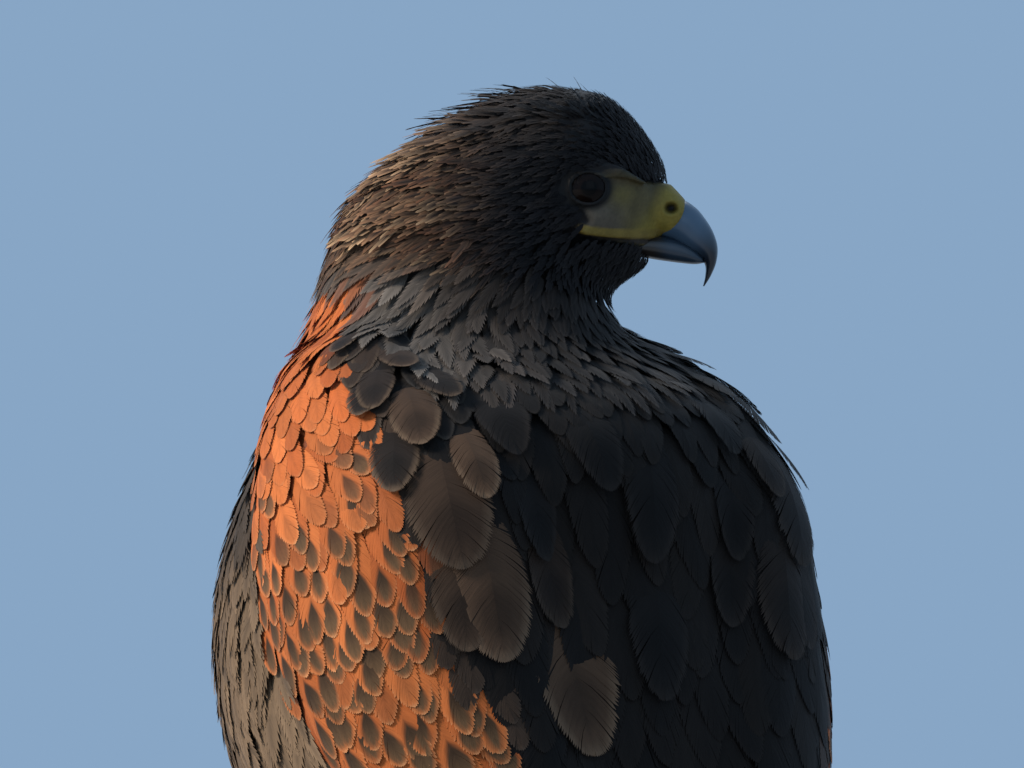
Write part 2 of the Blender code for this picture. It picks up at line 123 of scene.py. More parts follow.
def smooth_rows(rows, steps):
    """Rows of numbers with Catmull-Rom rows between them, steps to each gap."""
    rows = np.array(rows, float)
    padded = np.vstack([2 * rows[0] - rows[1], rows, 2 * rows[-1] - rows[-2]])
    made = []
    for i in range(1, len(padded) - 2):
        before, start, end, after = padded[i - 1 : i + 3]
        for k in range(steps):
            t = k / steps
            bend = (2 * before - 5 * start + 4 * end - after) * t * t
            twist = (3 * start - before - 3 * end + after) * t**3
            made.append(0.5 * (2 * start + (end - before) * t + bend + twist))
    made.append(rows[-1])
    return np.array(made)


def superellipse(angle, wide, deep, power):
    c, s = np.cos(angle), np.sin(angle)
    return wide * np.sign(c) * abs(c) ** (2 / power), deep * np.sign(s) * abs(s) ** (2 / power)


# Materials

# The name of the colour on the points, and how far red, green and blue light goes in skin
PAINT = "Plumage"
SKIN_LIGHT = (0.002, 0.001, 0.0005)


def principled(name, roughness, **sockets):
    """A Principled material. A socket's name is given with _ for each space."""
    made = bpy.data.materials.new(name)
    made.use_nodes = True
    shader = made.node_tree.nodes["Principled BSDF"]
    shader.inputs["Roughness"].default_value = roughness
    for socket, value in sockets.items():
        shader.inputs[socket.replace("_", " ")].default_value = value
    return made, made.node_tree, shader


def link_bump(tree, shader, height, strength, distance):
    bump = tree.nodes.new("ShaderNodeBump")
    bump.inputs["Strength"].default_value = strength
    bump.inputs["Distance"].default_value = distance
    tree.links.new(height, bump.inputs["Height"])
    tree.links.new(bump.outputs["Normal"], shader.inputs["Normal"])


def noise(tree, vector, scale, detail):
    made = tree.nodes.new("ShaderNodeTexNoise")
    made.inputs["Scale"].default_value = scale
    made.inputs["Detail"].default_value = detail
    tree.links.new(vector, made.inputs["Vector"])
    return made.outputs["Fac"]


def grain(tree, scale, detail):
    """Noise that stays in place on the object."""
    place = tree.nodes.new("ShaderNodeTexCoord")
    return noise(tree, place.outputs["Object"], scale, detail)


def link_paint(tree, shader, factor, low, high):
    """The colour painted on the points, made darker or lighter by factor, which runs from low to high."""
    paint = tree.nodes.new("ShaderNodeAttribute")
    paint.attribute_name = PAINT
    spread = tree.nodes.new("ShaderNodeMapRange")
    spread.inputs["To Min"].default_value = low
    spread.inputs["To Max"].default_value = high
    tree.links.new(factor, spread.inputs["Value"])
    blend = tree.nodes.new("ShaderNodeMix")
    blend.data_type = "RGBA"
    blend.blend_type = "MULTIPLY"
    blend.inputs["Factor"].default_value = 1.0
    tree.links.new(paint.outputs["Color"], blend.inputs["A"])
    tree.links.new(spread.outputs["Result"], blend.inputs["B"])
    tree.links.new(blend.outputs["Result"], shader.inputs["Base Color"])


def feather_material():
    """Barbs: fine lines along the barbs of each vane, in light and dark and in bump."""
    sheen = {"Sheen_Weight": 0.06, "Sheen_Roughness": 0.5}
    made, tree, shader = principled("plumage", 0.70, Specular_IOR_Level=0.12, **sheen)
    vane = tree.nodes.new("ShaderNodeUVMap")
    vane.uv_map = "Vane"
    stretch = tree.nodes.new("ShaderNodeMapping")
    stretch.inputs["Scale"].default_value = (0.9, 22.0, 1.0)
    tree.links.new(vane.outputs["UV"], stretch.inputs["Vector"])
    barbs = noise(tree, stretch.outputs["Vector"], 2.0, 4.0)
    link_paint(tree, shader, barbs, 0.70, 1.28)
    link_bump(tree, shader, barbs, 0.4, 0.0003)
    return made


def skin_material():
    """Finely grained skin, with a little light in it."""
    depth = {"Subsurface_Weight": 0.06, "Subsurface_Radius": SKIN_LIGHT}
    made, tree, shader = principled("skin", 0.55, Specular_IOR_Level=0.25, **depth)
    pores = grain(tree, 900.0, 4.0)
    link_paint(tree, shader, pores, 0.75, 1.2)
    link_bump(tree, shader, pores, 0.35, 0.0003)
    return made


def horn_material(name, roughness, streaks):
    """Bill and talon horn: fine growth lines over its painted colour."""
    made, tree, shader = principled(name, roughness, Coat_Weight=0.25, Coat_Roughness=0.2)
    growth = grain(tree, streaks, 5.0)
    link_paint(tree, shader, growth, 0.82, 1.12)
    link_bump(tree, shader, growth, 0.25, 0.0002)
    return made


def eye_material():
    """A wet eye: flecks in the iris under a thin gloss."""
    gloss = {"Coat_Weight": 0.06, "Coat_Roughness": 0.03}
    made, tree, shader = principled("eye", 0.15, Specular_IOR_Level=0.08, **gloss)
    link_paint(tree, shader, grain(tree, 1400.0, 3.0), 0.7, 1.25)
    return made


def scale_material():
    """Leg skin: small scales between the plates."""
    made, tree, shader = principled("leg_scales", 0.48, Subsurface_Weight=0.05, Subsurface_Radius=SKIN_LIGHT)
    place = tree.nodes.new("ShaderNodeTexCoord")
    cells = tree.nodes.new("ShaderNodeTexVoronoi")
    cells.feature = "DISTANCE_TO_EDGE"
    cells.inputs["Scale"].default_value = 620.0
    tree.links.new(place.outputs["Object"], cells.inputs["Vector"])
    edge = tree.nodes.new("ShaderNodeMapRange")
    edge.inputs["From Max"].default_value = 0.16
    tree.links.new(cells.outputs["Distance"], edge.inputs["Value"])
    # Painted shade: the colour darker toward the edges of the small scales, in the grooves that the bump
    # makes.
    link_paint(tree, shader, edge.outputs["Result"], 0.72, 1.05)
    link_bump(tree, shader, edge.outputs["Result"], 0.5, 0.0003)
    return made


# Meshes from arrays

def piece(name, points, faces, colour, material, uvs=None, stands_for=()):
    """A piece of triangles, which stands for some nodes. colour has a row for each of points."""
    mesh = bpy.data.meshes.new(name)
    mesh.vertices.add(len(points))
    mesh.vertices.foreach_set("co", (np.asarray(points) + np.array(ORIGIN)).astype(np.float32).ravel())
    mesh.loops.add(faces.size)
    mesh.loops.foreach_set("vertex_index", faces.astype(np.int32).ravel())
    mesh.polygons.add(len(faces))
    mesh.polygons.foreach_set("loop_start", np.arange(0, faces.size, 3, dtype=np.int32))
    for label, per_point in (uvs or {}).items():
        layer = mesh.uv_layers.new(name=label)
        layer.uv.foreach_set("vector", per_point[faces.ravel()].astype(np.float32).ravel())
    mesh.update(calc_edges=True)
    rgba = np.ones((len(points), 4), np.float32)
    rgba[:, :3] = colour
    mesh.color_attributes.new(PAINT, "FLOAT_COLOR", "POINT").data.foreach_set("color", rgba.ravel())
    mesh.shade_smooth()
    mesh.materials.append(material)
    made = bpy.data.objects.new(name, mesh)
    bpy.context.scene.collection.objects.link(made)
    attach(made, "root")
    if stands_for:
        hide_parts(*stands_for)


def loft(sections):
    """Triangles round rings of points, with both ends closed. sections is rings by points by 3."""
    rings, around = sections.shape[:2]
    ring, k = np.meshgrid(np.arange(rings - 1), np.arange(around), indexing="ij")
    n = (k + 1) % around
    a, b = ring * around + k, ring * around + n
    c, d = b + around, a + around
    faces = np.concatenate([np.stack([a, b, c], -1).reshape(-1, 3), np.stack([a, c, d], -1).reshape(-1, 3)])
    points = np.concatenate([sections.reshape(-1, 3), sections[:1].mean(1), sections[-1:].mean(1)])
    first, last = len(points) - 2, len(points) - 1
    k = np.arange(around)
    n = (k + 1) % around
    end = (rings - 1) * around
    near_cap = np.stack([np.full(around, first), n, k], -1)
    far_cap = np.stack([np.full(around, last), end + k, end + n], -1)
    return points, np.concatenate([faces, near_cap, far_cap])


def remeshed(parts, voxel, smoothing):
    """Closed parts joined in one surface. Gives its points, its triangles and its points' normals."""
    bm = bmesh.new()
    for points, faces in parts:
        verts = [bm.verts.new(p) for p in points]
        for face in faces:
            # A triangle that is there already is left out
            try:
                bm.faces.new([verts[i] for i in face])
            except ValueError:
                pass
    bmesh.ops.recalc_face_normals(bm, faces=bm.faces)
    mesh = bpy.data.meshes.new("form")
    bm.to_mesh(mesh)
    bm.free()
    form = bpy.data.objects.new("form", mesh)
    bpy.context.scene.collection.objects.link(form)
    remesh = form.modifiers.new("one_surface", "REMESH")
    remesh.mode = "VOXEL"
    remesh.voxel_size = voxel
    relax = form.modifiers.new("relax", "SMOOTH")
    relax.factor = 0.5
    relax.iterations = smoothing
    graph = bpy.context.evaluated_depsgraph_get()
    whole = bpy.data.meshes.new_from_object(form.evaluated_get(graph))
    bpy.data.objects.remove(form)
    return mesh_arrays(whole)


def mesh_arrays(mesh):
    mesh.calc_loop_triangles()
    points = np.empty(len(mesh.vertices) * 3)
    mesh.vertices.foreach_get("co", points)
    faces = np.empty(len(mesh.loop_triangles) * 3, np.int32)
    mesh.loop_triangles.foreach_get("vertices", faces)
    normals = np.empty(len(mesh.vertices) * 3)
    mesh.vertices.foreach_get("normal", normals)
    return points.reshape(-1, 3), faces.reshape(-1, 3), normals.reshape(-1, 3)


def node_arrays(name):
    """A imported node's welded points, in the body's frame, with its triangles and normals."""
    bm = bmesh.new()
    bm.from_mesh(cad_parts[name].data)
    bmesh.ops.remove_doubles(bm, verts=bm.verts, dist=1e-6)
    mesh = bpy.data.meshes.new(name + "_copy")
    bm.to_mesh(mesh)
    bm.free()
    points, faces, normals = mesh_arrays(mesh)
    bpy.data.meshes.remove(mesh)
    return points - np.array(ORIGIN), faces, normals


def tree_of(points, faces):
    return BVHTree.FromPolygons(points.tolist(), faces.tolist())


# The outer form of the body, which the tips of the feathers reach

FLESH = ("head", "neck", "trunk", "thigh_left", "thigh_right", "wing_left", "wing_right")
FORM_VOXEL = 0.0022
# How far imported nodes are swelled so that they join, and how far the front of the throat is drawn in
OVERLAP = 0.0004
THROAT_HOLLOW = 0.0030


def throat_share(points):
    """1 on the front of the throat, below the chin, and 0 elsewhere."""
    u, _, z = head_frame(points)
    return step(0.018, 0.030, u) * step(0.362, 0.374, z) * step(0.391, 0.384, z)


def body_form():
    parts = []
    trees = []
    for name in FLESH + ("cere", "eye_left", "eye_right"):
        points, faces, normals = node_arrays(name)
        parts.append((points + normals * OVERLAP, faces))
        if name in FLESH:
            trees.append(tree_of(points, faces))
    points, faces, normals = remeshed(parts, FORM_VOXEL, 5)
    near = np.array([[t.find_nearest(p)[3] for t in trees] for p in points.tolist()])
    points = points - np.array(FACING) * (THROAT_HOLLOW * throat_share(points))[:, None]
    return points, faces, normals, near.argmin(1)


form_points, form_faces, form_normals, form_region = body_form()
form_tree = tree_of(form_points, form_faces)
face_normals = unit(form_normals[form_faces].mean(1))
face_centres = form_points[form_faces].mean(1)
face_region = form_region[form_faces[:, 0]]
HEAD, NECK, TRUNK, THIGH_LEFT, THIGH_RIGHT, WING_LEFT, WING_RIGHT = range(7)

# How deep the coat is over each part of the body
DEPTHS = np.array([0.0026, 0.0036, 0.0042, 0.0036, 0.0036, 0.0022, 0.0022])
BLADE_DEPTH = 0.0014
BLADE_TOP = 0.205


def smoothed(values, faces, rounds):
    """Values at the points of a mesh, evened out along its edges."""
    for _ in range(rounds):
        total = np.zeros_like(values)
        count = np.zeros(len(values))
        for i, j in ((0, 1), (1, 2), (2, 0)):
            np.add.at(total, faces[:, i], values[faces[:, j]])
            np.add.at(total, faces[:, j], values[faces[:, i]])
            np.add.at(count, faces[:, i], 1)
            np.add.at(count, faces[:, j], 1)
        values = 0.5 * values + 0.5 * total / np.maximum(count, 1)
    return values


def mottle(points, size):
    """Soft uneven values from -1 to 1, in patches of about the given size."""
    waves = np.random.RandomState(11)
    total = 0.0
    for _ in range(6):
        way = unit(waves.normal(0, 1, 3)) * 2 * math.pi / (size * waves.uniform(1.4, 2.8))
        total = total + np.sin(points @ way + waves.uniform(0, 6))
    return np.clip(total / 3.2, -1, 1)


coat_depth = DEPTHS[form_region]
blade = (form_region >= WING_LEFT) & (form_points[:, 2] < BLADE_TOP)
coat_depth = smoothed(np.where(blade, BLADE_DEPTH, coat_depth), form_faces, 8)
face_depth = coat_depth[form_faces].mean(1)


# The wing's own coordinates: share 0 at its front edge, 1 at its rear edge, and height

WING_ROWS = smooth_rows(
    # z, y of the section's centre, half width, half depth behind it, half depth ahead of it,
    # where on the section the wing starts and ends in degrees from the side, thickness
    [
        (0.374, -0.013, 0.0480, 0.036, 0.040, -40, 20, 0.006),
        (0.366, -0.012, 0.0600, 0.046, 0.047, -46, 36, 0.014),
        (0.352, -0.006, 0.0725, 0.065, 0.058, -42, 52, 0.018),
        (0.326, -0.003, 0.0870, 0.078, 0.068, -16, 66, 0.021),
        (0.298, -0.004, 0.0940, 0.081, 0.072, -4, 72, 0.021),
        (0.268, -0.001, 0.0965, 0.082, 0.075, 6, 75, 0.021),
        (0.240, 0.008, 0.0905, 0.079, 0.075, 15, 77, 0.019),
        (0.208, 0.028, 0.0770, 0.067, 0.065, 18, 80, 0.016),
        (0.176, 0.052, 0.0610, 0.056, 0.055, 18, 82, 0.013),
        (0.146, 0.078, 0.0465, 0.047, 0.045, 14, 83, 0.010),
        (0.120, 0.104, 0.0350, 0.036, 0.035, 10, 82, 0.007),
        (0.100, 0.130, 0.0250, 0.024, 0.024, 12, 78, 0.005),
        (0.090, 0.146, 0.0170, 0.013, 0.013, 22, 70, 0.0035),
    ],
    2,
)[::-1]


def wing_row(z):
    """What WING_ROWS says of a height."""
    return [np.interp(z, WING_ROWS[:, 0], column) for column in WING_ROWS[:, 1:].T]


def wing_point(share, z, sign):
    """The outer surface of a folded wing."""
    y, wide, behind, ahead, start, end, thick = wing_row(z)
    angle = np.radians(start + (end - start) * share)
    x, deep = superellipse(angle, wide, np.where(angle > 0, behind, ahead), BODY_POWER)
    lens = np.sqrt(np.maximum(0.0, 1 - abs(2 * share - 1) ** 2.6))
    inset = 1 - thick / 2 * (1 - lens) / np.maximum(np.hypot(x, deep), 1e-6)
    return np.stack([sign * x * inset, y + deep * inset, z + 0 * x], -1)


def wing_flow(share, z, sign):
    return unit(wing_point(share, z - 0.004, sign) - wing_point(share, z, sign))


# The lie of the coat

def flow(points):
    """The way that feathers point over the body, before they are laid along its surface."""
    u, l, z = head_frame(points)
    on_head = step(0.372, 0.408, z)
    brow = step(0.018, 0.040, u) * step(0.404, 0.414, z)
    head = -np.array(FACING) + np.array(UP) * (-0.42 + 1.1 * brow)[:, None]
    x, y = points[:, 0], points[:, 1]
    low = step(0.235, 0.150, z) * step(-0.010, 0.040, y)
    body = np.stack([0.10 * x / 0.09, 0.30 + 0.75 * low, -1.0 + 0.35 * low], -1)
    return mix(body, head, on_head[:, None])


# Feathers

class Vane:
    """The pattern that feathers of one kind share: barbs along a shaft.

    t runs from the root to the tip, s across from -1 to 1 at the widest place, and v along each barb
    from the shaft to the edge. slant is how far ahead of its root a barb ends, and split the share of
    the barbs that end on the straight part of the edge.
    """

    def __init__(self, barbs, widest=0.62, point=0.0, base=0.55, fray=0.12, slant=0.34, split=0.5, levels=3):
        share = np.linspace(0, 1, barbs + 1)
        low = np.clip(share / split, 0, 1)
        high = np.clip((share - split) / (1 - split), 0, 1)
        turn = high * math.pi / 2
        end_t = np.where(share < split, mix(0.08, widest, low), widest + (1 - widest) * np.sin(turn))
        tip_s = mix(np.cos(turn) ** 0.9, (1 - np.sin(turn)) ** 0.8, point)
        end_s = np.where(share < split, mix(base, 1.0, np.sin(low * math.pi / 2)), tip_s)
        root_t = np.where(share < split, mix(0.01, widest - slant, low), mix(widest - slant, 0.96, high))
        t, s, v, place, faces = [], [], [], [], []
        rows = (0.0, 0.5, 1.0) if levels == 3 else (0.0, 0.45, 0.8, 1.0)
        corners = [(levels - 1, 2 * levels, 2 * levels - 1)]
        for k in range(levels - 1):
            corners += [(k, k + 1, levels + k + 1), (k, levels + k + 1, levels + k)]
        for side in (-1.0, 1.0):
            for i in range(barbs):
                start = len(t)
                for j in (i, i + 1):
                    for row in rows:
                        reach = row * (1 - fray)
                        t.append(root_t[j] + (end_t[j] - root_t[j]) * reach**1.3)
                        s.append(side * end_s[j] * reach)
                        v.append(reach)
                        place.append(share[j])
                t.append((end_t[i] + end_t[i + 1]) / 2)
                s.append(side * (end_s[i] + end_s[i + 1]) / 2)
                v.append(1.0)
                place.append((share[i] + share[i + 1]) / 2)
                faces += [tuple(start + k for k in (face if side > 0 else face[::-1])) for face in corners]
        self.t, self.s, self.v, self.place = np.array(t), np.array(s), np.array(v), np.array(place)
        self.barb = np.repeat(np.arange(2 * barbs), 2 * levels + 1)
        self.faces = np.array(faces)


KNOTS = np.linspace(0, 1, 5)
CUBIC = np.linalg.pinv(np.vander(KNOTS, 4))
# At each knot: how far a feather has risen from the skin to the form, and how far its edges drop
RISE = np.array([0.0, 0.48, 0.78, 0.93, 1.0])
EDGE_DROP = np.array([0.3, 0.8, 1.0, 1.0, 0.9])


def lay(roots, ways, lengths, widths, depths=None, lifts=0.0, camber=0.08, sink=0.0):
    """Places feathers on the body's form: knots along and across each one.

    A feather starts at the skin, as deep as the coat, and rises to the form. lifts raise its tip further,
    and sink lowers all of it.
    """
    count = len(roots)
    places = np.empty((count, 5, 3, 3))
    normals = np.empty((count, 5, 3, 3))
    deep = np.empty(count)
    find = form_tree.find_nearest
    for n in range(count):
        at, _, face, _ = find(roots[n])
        deep[n] = face_depth[face]
        way = Vector(ways[n])
        for k in range(5):
            out = Vector(face_normals[face])
            way = (way - out * way.dot(out)).normalized()
            side = way.cross(out)
            places[n, k, 1], normals[n, k, 1] = at, out
            for j, sign in ((0, -1), (2, 1)):
                edge, _, edge_face, _ = find(at + side * (sign * widths[n]))
                places[n, k, j], normals[n, k, j] = edge, face_normals[edge_face]
            if k < 4:
                ahead, _, face, _ = find(at + way * (lengths[n] / 4))
                way = (ahead - at).normalized()
                at = ahead
    if depths is not None:
        deep = np.minimum(deep, depths)
    height = -deep[:, None] * (1 - RISE) + np.asarray(lifts).reshape(-1, 1) * KNOTS**1.5
    height = height - np.asarray(sink).reshape(-1, 1)
    drop = camber * np.asarray(widths)[:, None] * EDGE_DROP
    level = height[:, :, None] - drop[:, :, None] * np.array([1, 0, 1])
    return places + normals * level[..., None]


def grow(vane, knots, ruffle=0.5, clumps=3, gaps=0.03):
    """Points of feathers of one kind on their knots. Gives points, faces, and t and s of each point."""
    count, size = len(knots), len(vane.t)
    group = vane.barb // clumps
    shift = random.normal(0, gaps, (count, group.max() + 1))[:, group]
    longer = random.normal(0, 1.5 * gaps, (count, vane.barb.max() + 1))[:, vane.barb]
    t = vane.t + (shift * vane.v**2) * np.minimum(1, 4 * (1.04 - vane.t))
    s = vane.s * (1 + longer * vane.v**3)
    along = np.vander(t.ravel(), 4).reshape(count, size, 4) @ CUBIC
    across = np.stack([s * (s - 1) / 2, 1 - s * s, s * (s + 1) / 2], -1)
    points = np.einsum("nvk,nvj,nkjx->nvx", along, across, knots, optimize=True)
    out = unit(np.cross(knots[:, 3, 2] - knots[:, 3, 0], knots[:, 4, 1] - knots[:, 2, 1]))
    width = np.linalg.norm(knots[:, 2, 2] - knots[:, 2, 0], axis=1)
    wave = random.normal(0, 0.02 * ruffle, (count, group.max() + 1))[:, group] * vane.v**2 * vane.t
    points = points + out[:, None] * (wave * width[:, None])[..., None]
    faces = (vane.faces[None] + (np.arange(count) * size)[:, None, None]).reshape(-1, 3)
    return points.reshape(-1, 3), faces, t, s


def tilted(ways, normals, degrees):
    """Directions turned about their normals by random angles of about that many degrees."""
    turn = np.radians(random.normal(0, degrees, len(ways)))[:, None]
    return ways * np.cos(turn) + np.cross(normals, ways) * np.sin(turn)


SCATTER_TRIES = 7


def scatter(chosen, spacing):
    """Roots spread evenly over the chosen triangles of the form. spacing is a value for each triangle."""
    corners = form_points[form_faces[chosen]]
    square = np.cross(corners[:, 1] - corners[:, 0], corners[:, 2] - corners[:, 0])
    areas = np.linalg.norm(square, axis=1) / 2
    gap = spacing[chosen]
    weight = areas / gap**2
    tries = int(weight.sum() * SCATTER_TRIES)
    picks = random.choice(len(chosen), tries, p=weight / weight.sum())
    a, b = random.rand(2, tries)
    flip = a + b > 1
    a, b = np.where(flip, 1 - a, a), np.where(flip, 1 - b, b)
    spots = corners[picks, 0] + (corners[picks, 1] - corners[picks, 0]) * a[:, None]
    spots = spots + (corners[picks, 2] - corners[picks, 0]) * b[:, None]
    cell = float(gap.max())
    taken = {}
    kept = []
    for n, (spot, r) in enumerate(zip(spots.tolist(), gap[picks].tolist())):
        key = tuple(int(c // cell) for c in spot)
        near = (
            q
            for dx in (-1, 0, 1)
            for dy in (-1, 0, 1)
            for dz in (-1, 0, 1)
            for q in taken.get((key[0] + dx, key[1] + dy, key[2] + dz), ())
        )
        if all((spot[0] - q[0]) ** 2 + (spot[1] - q[1]) ** 2 + (spot[2] - q[2]) ** 2 > r * r for q in near):
            taken.setdefault(key, []).append(spot)
            kept.append(n)
    return spots[kept], face_normals[np.asarray(chosen)[picks[kept]]]


def round_unwrap(points, middle, low, high):
    """Places on an unwrap of a rounded part about an upright axis."""
    turn = np.arctan2(points[:, 1] - middle[1], points[:, 0] - middle[0]) / (2 * math.pi) + 0.5
    rise = (points[:, 2] - low) / (high - low)
    return np.stack([0.01 + 0.98 * turn, 0.01 + 0.98 * np.clip(rise, 0, 1)], -1)


def coat(name, slot, vane, knots, colour, spots, patch=(0.003, 0.003), stands_for=(), **growth):
    """A piece of plumage. colour(t, s, v) gives each point's colour.

    spots are the feathers' places on an unwrap of the skin, and patch is the size of a feather there.
    """
    points, faces, t, s = grow(vane, knots, **growth)
    v = vane.v + 0 * t
    painted_points = np.clip(colour(t, s, v), 0, 1).reshape(-1, 3)
    here = np.repeat(spots[:, None], t.shape[1], 1)
    bake = here + np.stack([s * patch[0] / 2, (t - 0.5) * patch[1]], -1)
    fibre = np.stack([v, vane.place + 0 * t], -1) + random.rand(len(knots), 1, 2) * 7
    uvs = {"OFBake": np.clip(bake, 0.001, 0.999).reshape(-1, 2), "Vane": fibre.reshape(-1, 2)}
    piece(name, points, faces, painted_points, PLUMAGE, uvs, stands_for)


def plain_colours(count, dark, fringe, variety=0.12, fringe_width=0.25, amount=1.0):
    """A dark vane with a paler fringe and a dark shaft.

    dark and fringe are one colour, or one for each feather.
    """
    shade = np.exp(random.normal(0, variety, count))[:, None, None]
    dark = np.broadcast_to(dark, (count, 3))[:, None]
    fringe = np.broadcast_to(fringe, (count, 3))[:, None]
    amount = np.broadcast_to(amount, (count,))[:, None]

    def colour(t, s, v):
        edge = np.maximum(step(1 - fringe_width, 1.0, v), step(1 - 0.35 * fringe_width, 1.0, t))
        edge = edge * step(0.25, 0.75, t) * amount
        shaft = (1 - step(0.02, 0.10, v)) * 0.175
        return mix(dark, fringe, edge[..., None]) * (1 - shaft[..., None]) * shade

    return colour


# Corners of the bare skin in the photo: brow, forehead, front of the cere, gape, gape corner, cheek
BARE_OUTLINE = (
    (575, 170), (582, 165), (617, 165), (634, 174), (646, 183), (662, 181), (690, 186), (720, 215),
    (700, 262), (664, 248), (630, 244), (600, 240), (584, 238), (578, 232), (581, 226), (590, 226),
    (591, 221), (582, 209), (569, 194),
)


def bare_face(u, z):
    """True where the face has no feathers: round the eye, the lore, the cere and the gape."""
    inside = np.zeros(u.shape, bool)
    outline = [from_photo(x, y) for x, y in BARE_OUTLINE]
    for (u1, z1), (u2, z2) in zip(outline, outline[1:] + outline[:1]):
        crosses = (z1 > z) != (z2 > z)
        inside ^= crosses & (u < u1 + (z - z1) * (u2 - u1) / (z2 - z1 + 1e-12))
    eye = np.hypot((u - EYE_U) / 1.1, z - EYE_Z) < 0.0056
    return inside | eye


PLUMAGE = feather_material()
SKIN = skin_material()
HORN = horn_material("bill_horn", 0.33, 260.0)
TALON = horn_material("talon_horn", 0.25, 500.0)
EYE = eye_material()
SCALES = scale_material()


# Colours

BLACK_BROWN = rgb(27, 23, 21)
DARK_BROWN = rgb(40, 33, 28)
WARM_BROWN = rgb(82, 61, 45)
FACE_BLACK = rgb(22, 20, 21)
GREY_FRINGE = rgb(100, 92, 84)
BUFF = rgb(146, 116, 86)
NAPE_RUFOUS = rgb(118, 77, 52)
RUFOUS = rgb(198, 108, 54)
DEEP_RUFOUS = rgb(170, 84, 38)
THIGH_RUFOUS = rgb(140, 66, 34)
RUFOUS_FRINGE = rgb(212, 164, 116)
BREAST = rgb(124, 100, 76)
TAIL_BLACK = rgb(32, 28, 28)
WHITE = rgb(232, 227, 216)
CERE_YELLOW = rgb(136, 118, 50)
GAPE_YELLOW = rgb(128, 108, 50)
LORE_OLIVE = rgb(92, 81, 50)
LORE_YELLOW = rgb(112, 99, 48)
LORE_GREY = rgb(86, 77, 64)
LEG_YELLOW = rgb(214, 170, 54)
BILL_BLUE = rgb(70, 92, 112)
BILL_TIP = rgb(30, 34, 42)
TALON_BLACK = rgb(30, 29, 31)
PUPIL = rgb(6, 5, 5)
IRIS = rgb(20, 12, 9)
EYE_RIM = rgb(16, 11, 9)


# The rear edge of the rufous shoulder in the photo: height, and place across the picture
SHOULDER_EDGE = (
    (0.2435, -0.0006), (0.2586, -0.0012), (0.2721, -0.0065), (0.2875, -0.0174), (0.2981, -0.0227),
    (0.3072, -0.0292), (0.3261, -0.0292), (0.3344, -0.0407), (0.3485, -0.0407), (0.3577, -0.0472),
    (0.3665, -0.0472), (0.3792, -0.0490),
)
# The photo shows no rufous on the right wing, so that its edge is this much further forward
RIGHT_FURTHER = 0.026


def behind_shoulder(points):
    """How far behind the rufous shoulder points are, as the camera sees it."""
    heights, edge = np.array(SHOULDER_EDGE).T
    across = abs(points[:, 0]) * FACING.x + points[:, 1] * FACING.y
    return across - np.interp(points[:, 2], heights, edge) + RIGHT_FURTHER * (points[:, 0] < 0)


def on_shoulder(points, jitter=0.0):
    """1 on the rufous shoulders and 0 elsewhere."""
    z = points[:, 2]
    rear = step(0.002, -0.002, behind_shoulder(points) + jitter)
    return rear * step(0.388, 0.381, z) * step(0.198, 0.222, z) * step(-0.056, -0.044, points[:, 1])


def shaded_plumage_tint(points, region):
    """The colour of the skin under the coat: the colours of the feathers over it, darkened to about half as
    painted shade deep in the coat.
    """
    y, z = points[:, 1], points[:, 2]
    tint = np.broadcast_to(DARK_BROWN * 0.6, points.shape).copy()
    wing = region >= WING_LEFT
    flank = step(0.040, 0.070, abs(points[:, 0])) * step(0.335, 0.305, z) * ~wing
    tint = mix(tint, BREAST * 0.6, flank[:, None])
    thigh = step(0.235, 0.195, z) * step(0.045, 0.020, y) * ~wing
    tint = mix(tint, THIGH_RUFOUS * 0.5, thigh[:, None])
    vent = step(0.050, 0.070, y) * step(0.200, 0.180, z) * ~wing
    tint = mix(tint, WHITE * 0.6, vent[:, None])
    return mix(tint, DEEP_RUFOUS * 0.5, on_shoulder(points)[:, None])


# The head's bare skin, brow and lids

FACE_VOXEL = 0.00066
FACE_ROWS = (
    # u, crown height, jaw height, half width
    (-0.006, 0.4430, 0.387, 0.0250),
    (0.004, 0.4462, 0.387, 0.0268),
    (0.017, 0.4462, 0.387, 0.0265),
    (0.027, 0.4438, 0.3875, 0.0232),
    (0.034, 0.4385, 0.3890, 0.0180),
    (0.0385, 0.4326, 0.3932, 0.0142),
    (0.0415, 0.4262, 0.3965, 0.0102),
    (0.0434, 0.4170, 0.3990, 0.0054),
)
CERE_ROWS = (
    # top u, top z, lower u, lower z, half width
    (0.0390, 0.4250, 0.0330, 0.4012, 0.0122),
    (0.0430, 0.4204, 0.0385, 0.4010, 0.0104),
    (0.0465, 0.4163, 0.0415, 0.4008, 0.0094),
    (0.0492, 0.4134, 0.0440, 0.4006, 0.0087),
    (0.0512, 0.4112, 0.0455, 0.4005, 0.0080),
)
CERE_BULGE = 0.0017
NOSTRIL_U, NOSTRIL_Z = from_photo(671, 208)
GAPE_BACK = from_photo(583, 231)
GAPE_FRONT = from_photo(659, 234)
# Half the lids' opening, seen from the middle of the eyeball, and how far ahead an eye looks
EYE_WIDE, EYE_HIGH = math.radians(36), math.radians(31)
EYE_AHEAD = 0.10
BROW_PATH = (
    # u, l, z, radius
    (0.008, 0.0240, 0.4195, 0.0014),
    (0.015, 0.0264, 0.4214, 0.0025),
    (0.024, 0.0262, 0.4220, 0.0029),
    (0.032, 0.0212, 0.4200, 0.0024),
    (0.040, 0.0150, 0.4165, 0.0012),
)


def eye_place(sign):
    """The middle of an eyeball, and the way that it looks."""
    centre = np.array(head_point(EYE_U, sign * EYE_L, EYE_Z))
    return centre, unit(np.array(HEAD_LEFT) * sign + np.array(FACING) * EYE_AHEAD)


def head_half_width(u, z):
    """How far from the midline the plain head is, at a place seen from the side."""
    rows = np.array(FACE_ROWS)
    crown, jaw, half = (np.interp(u, rows[:, 0], rows[:, k]) for k in (1, 2, 3))
    share = np.clip(abs(z - (crown + jaw) / 2) / ((crown - jaw) / 2), 0, 0.98)
    return half * (1 - share**HEAD_POWER) ** (1 / HEAD_POWER)


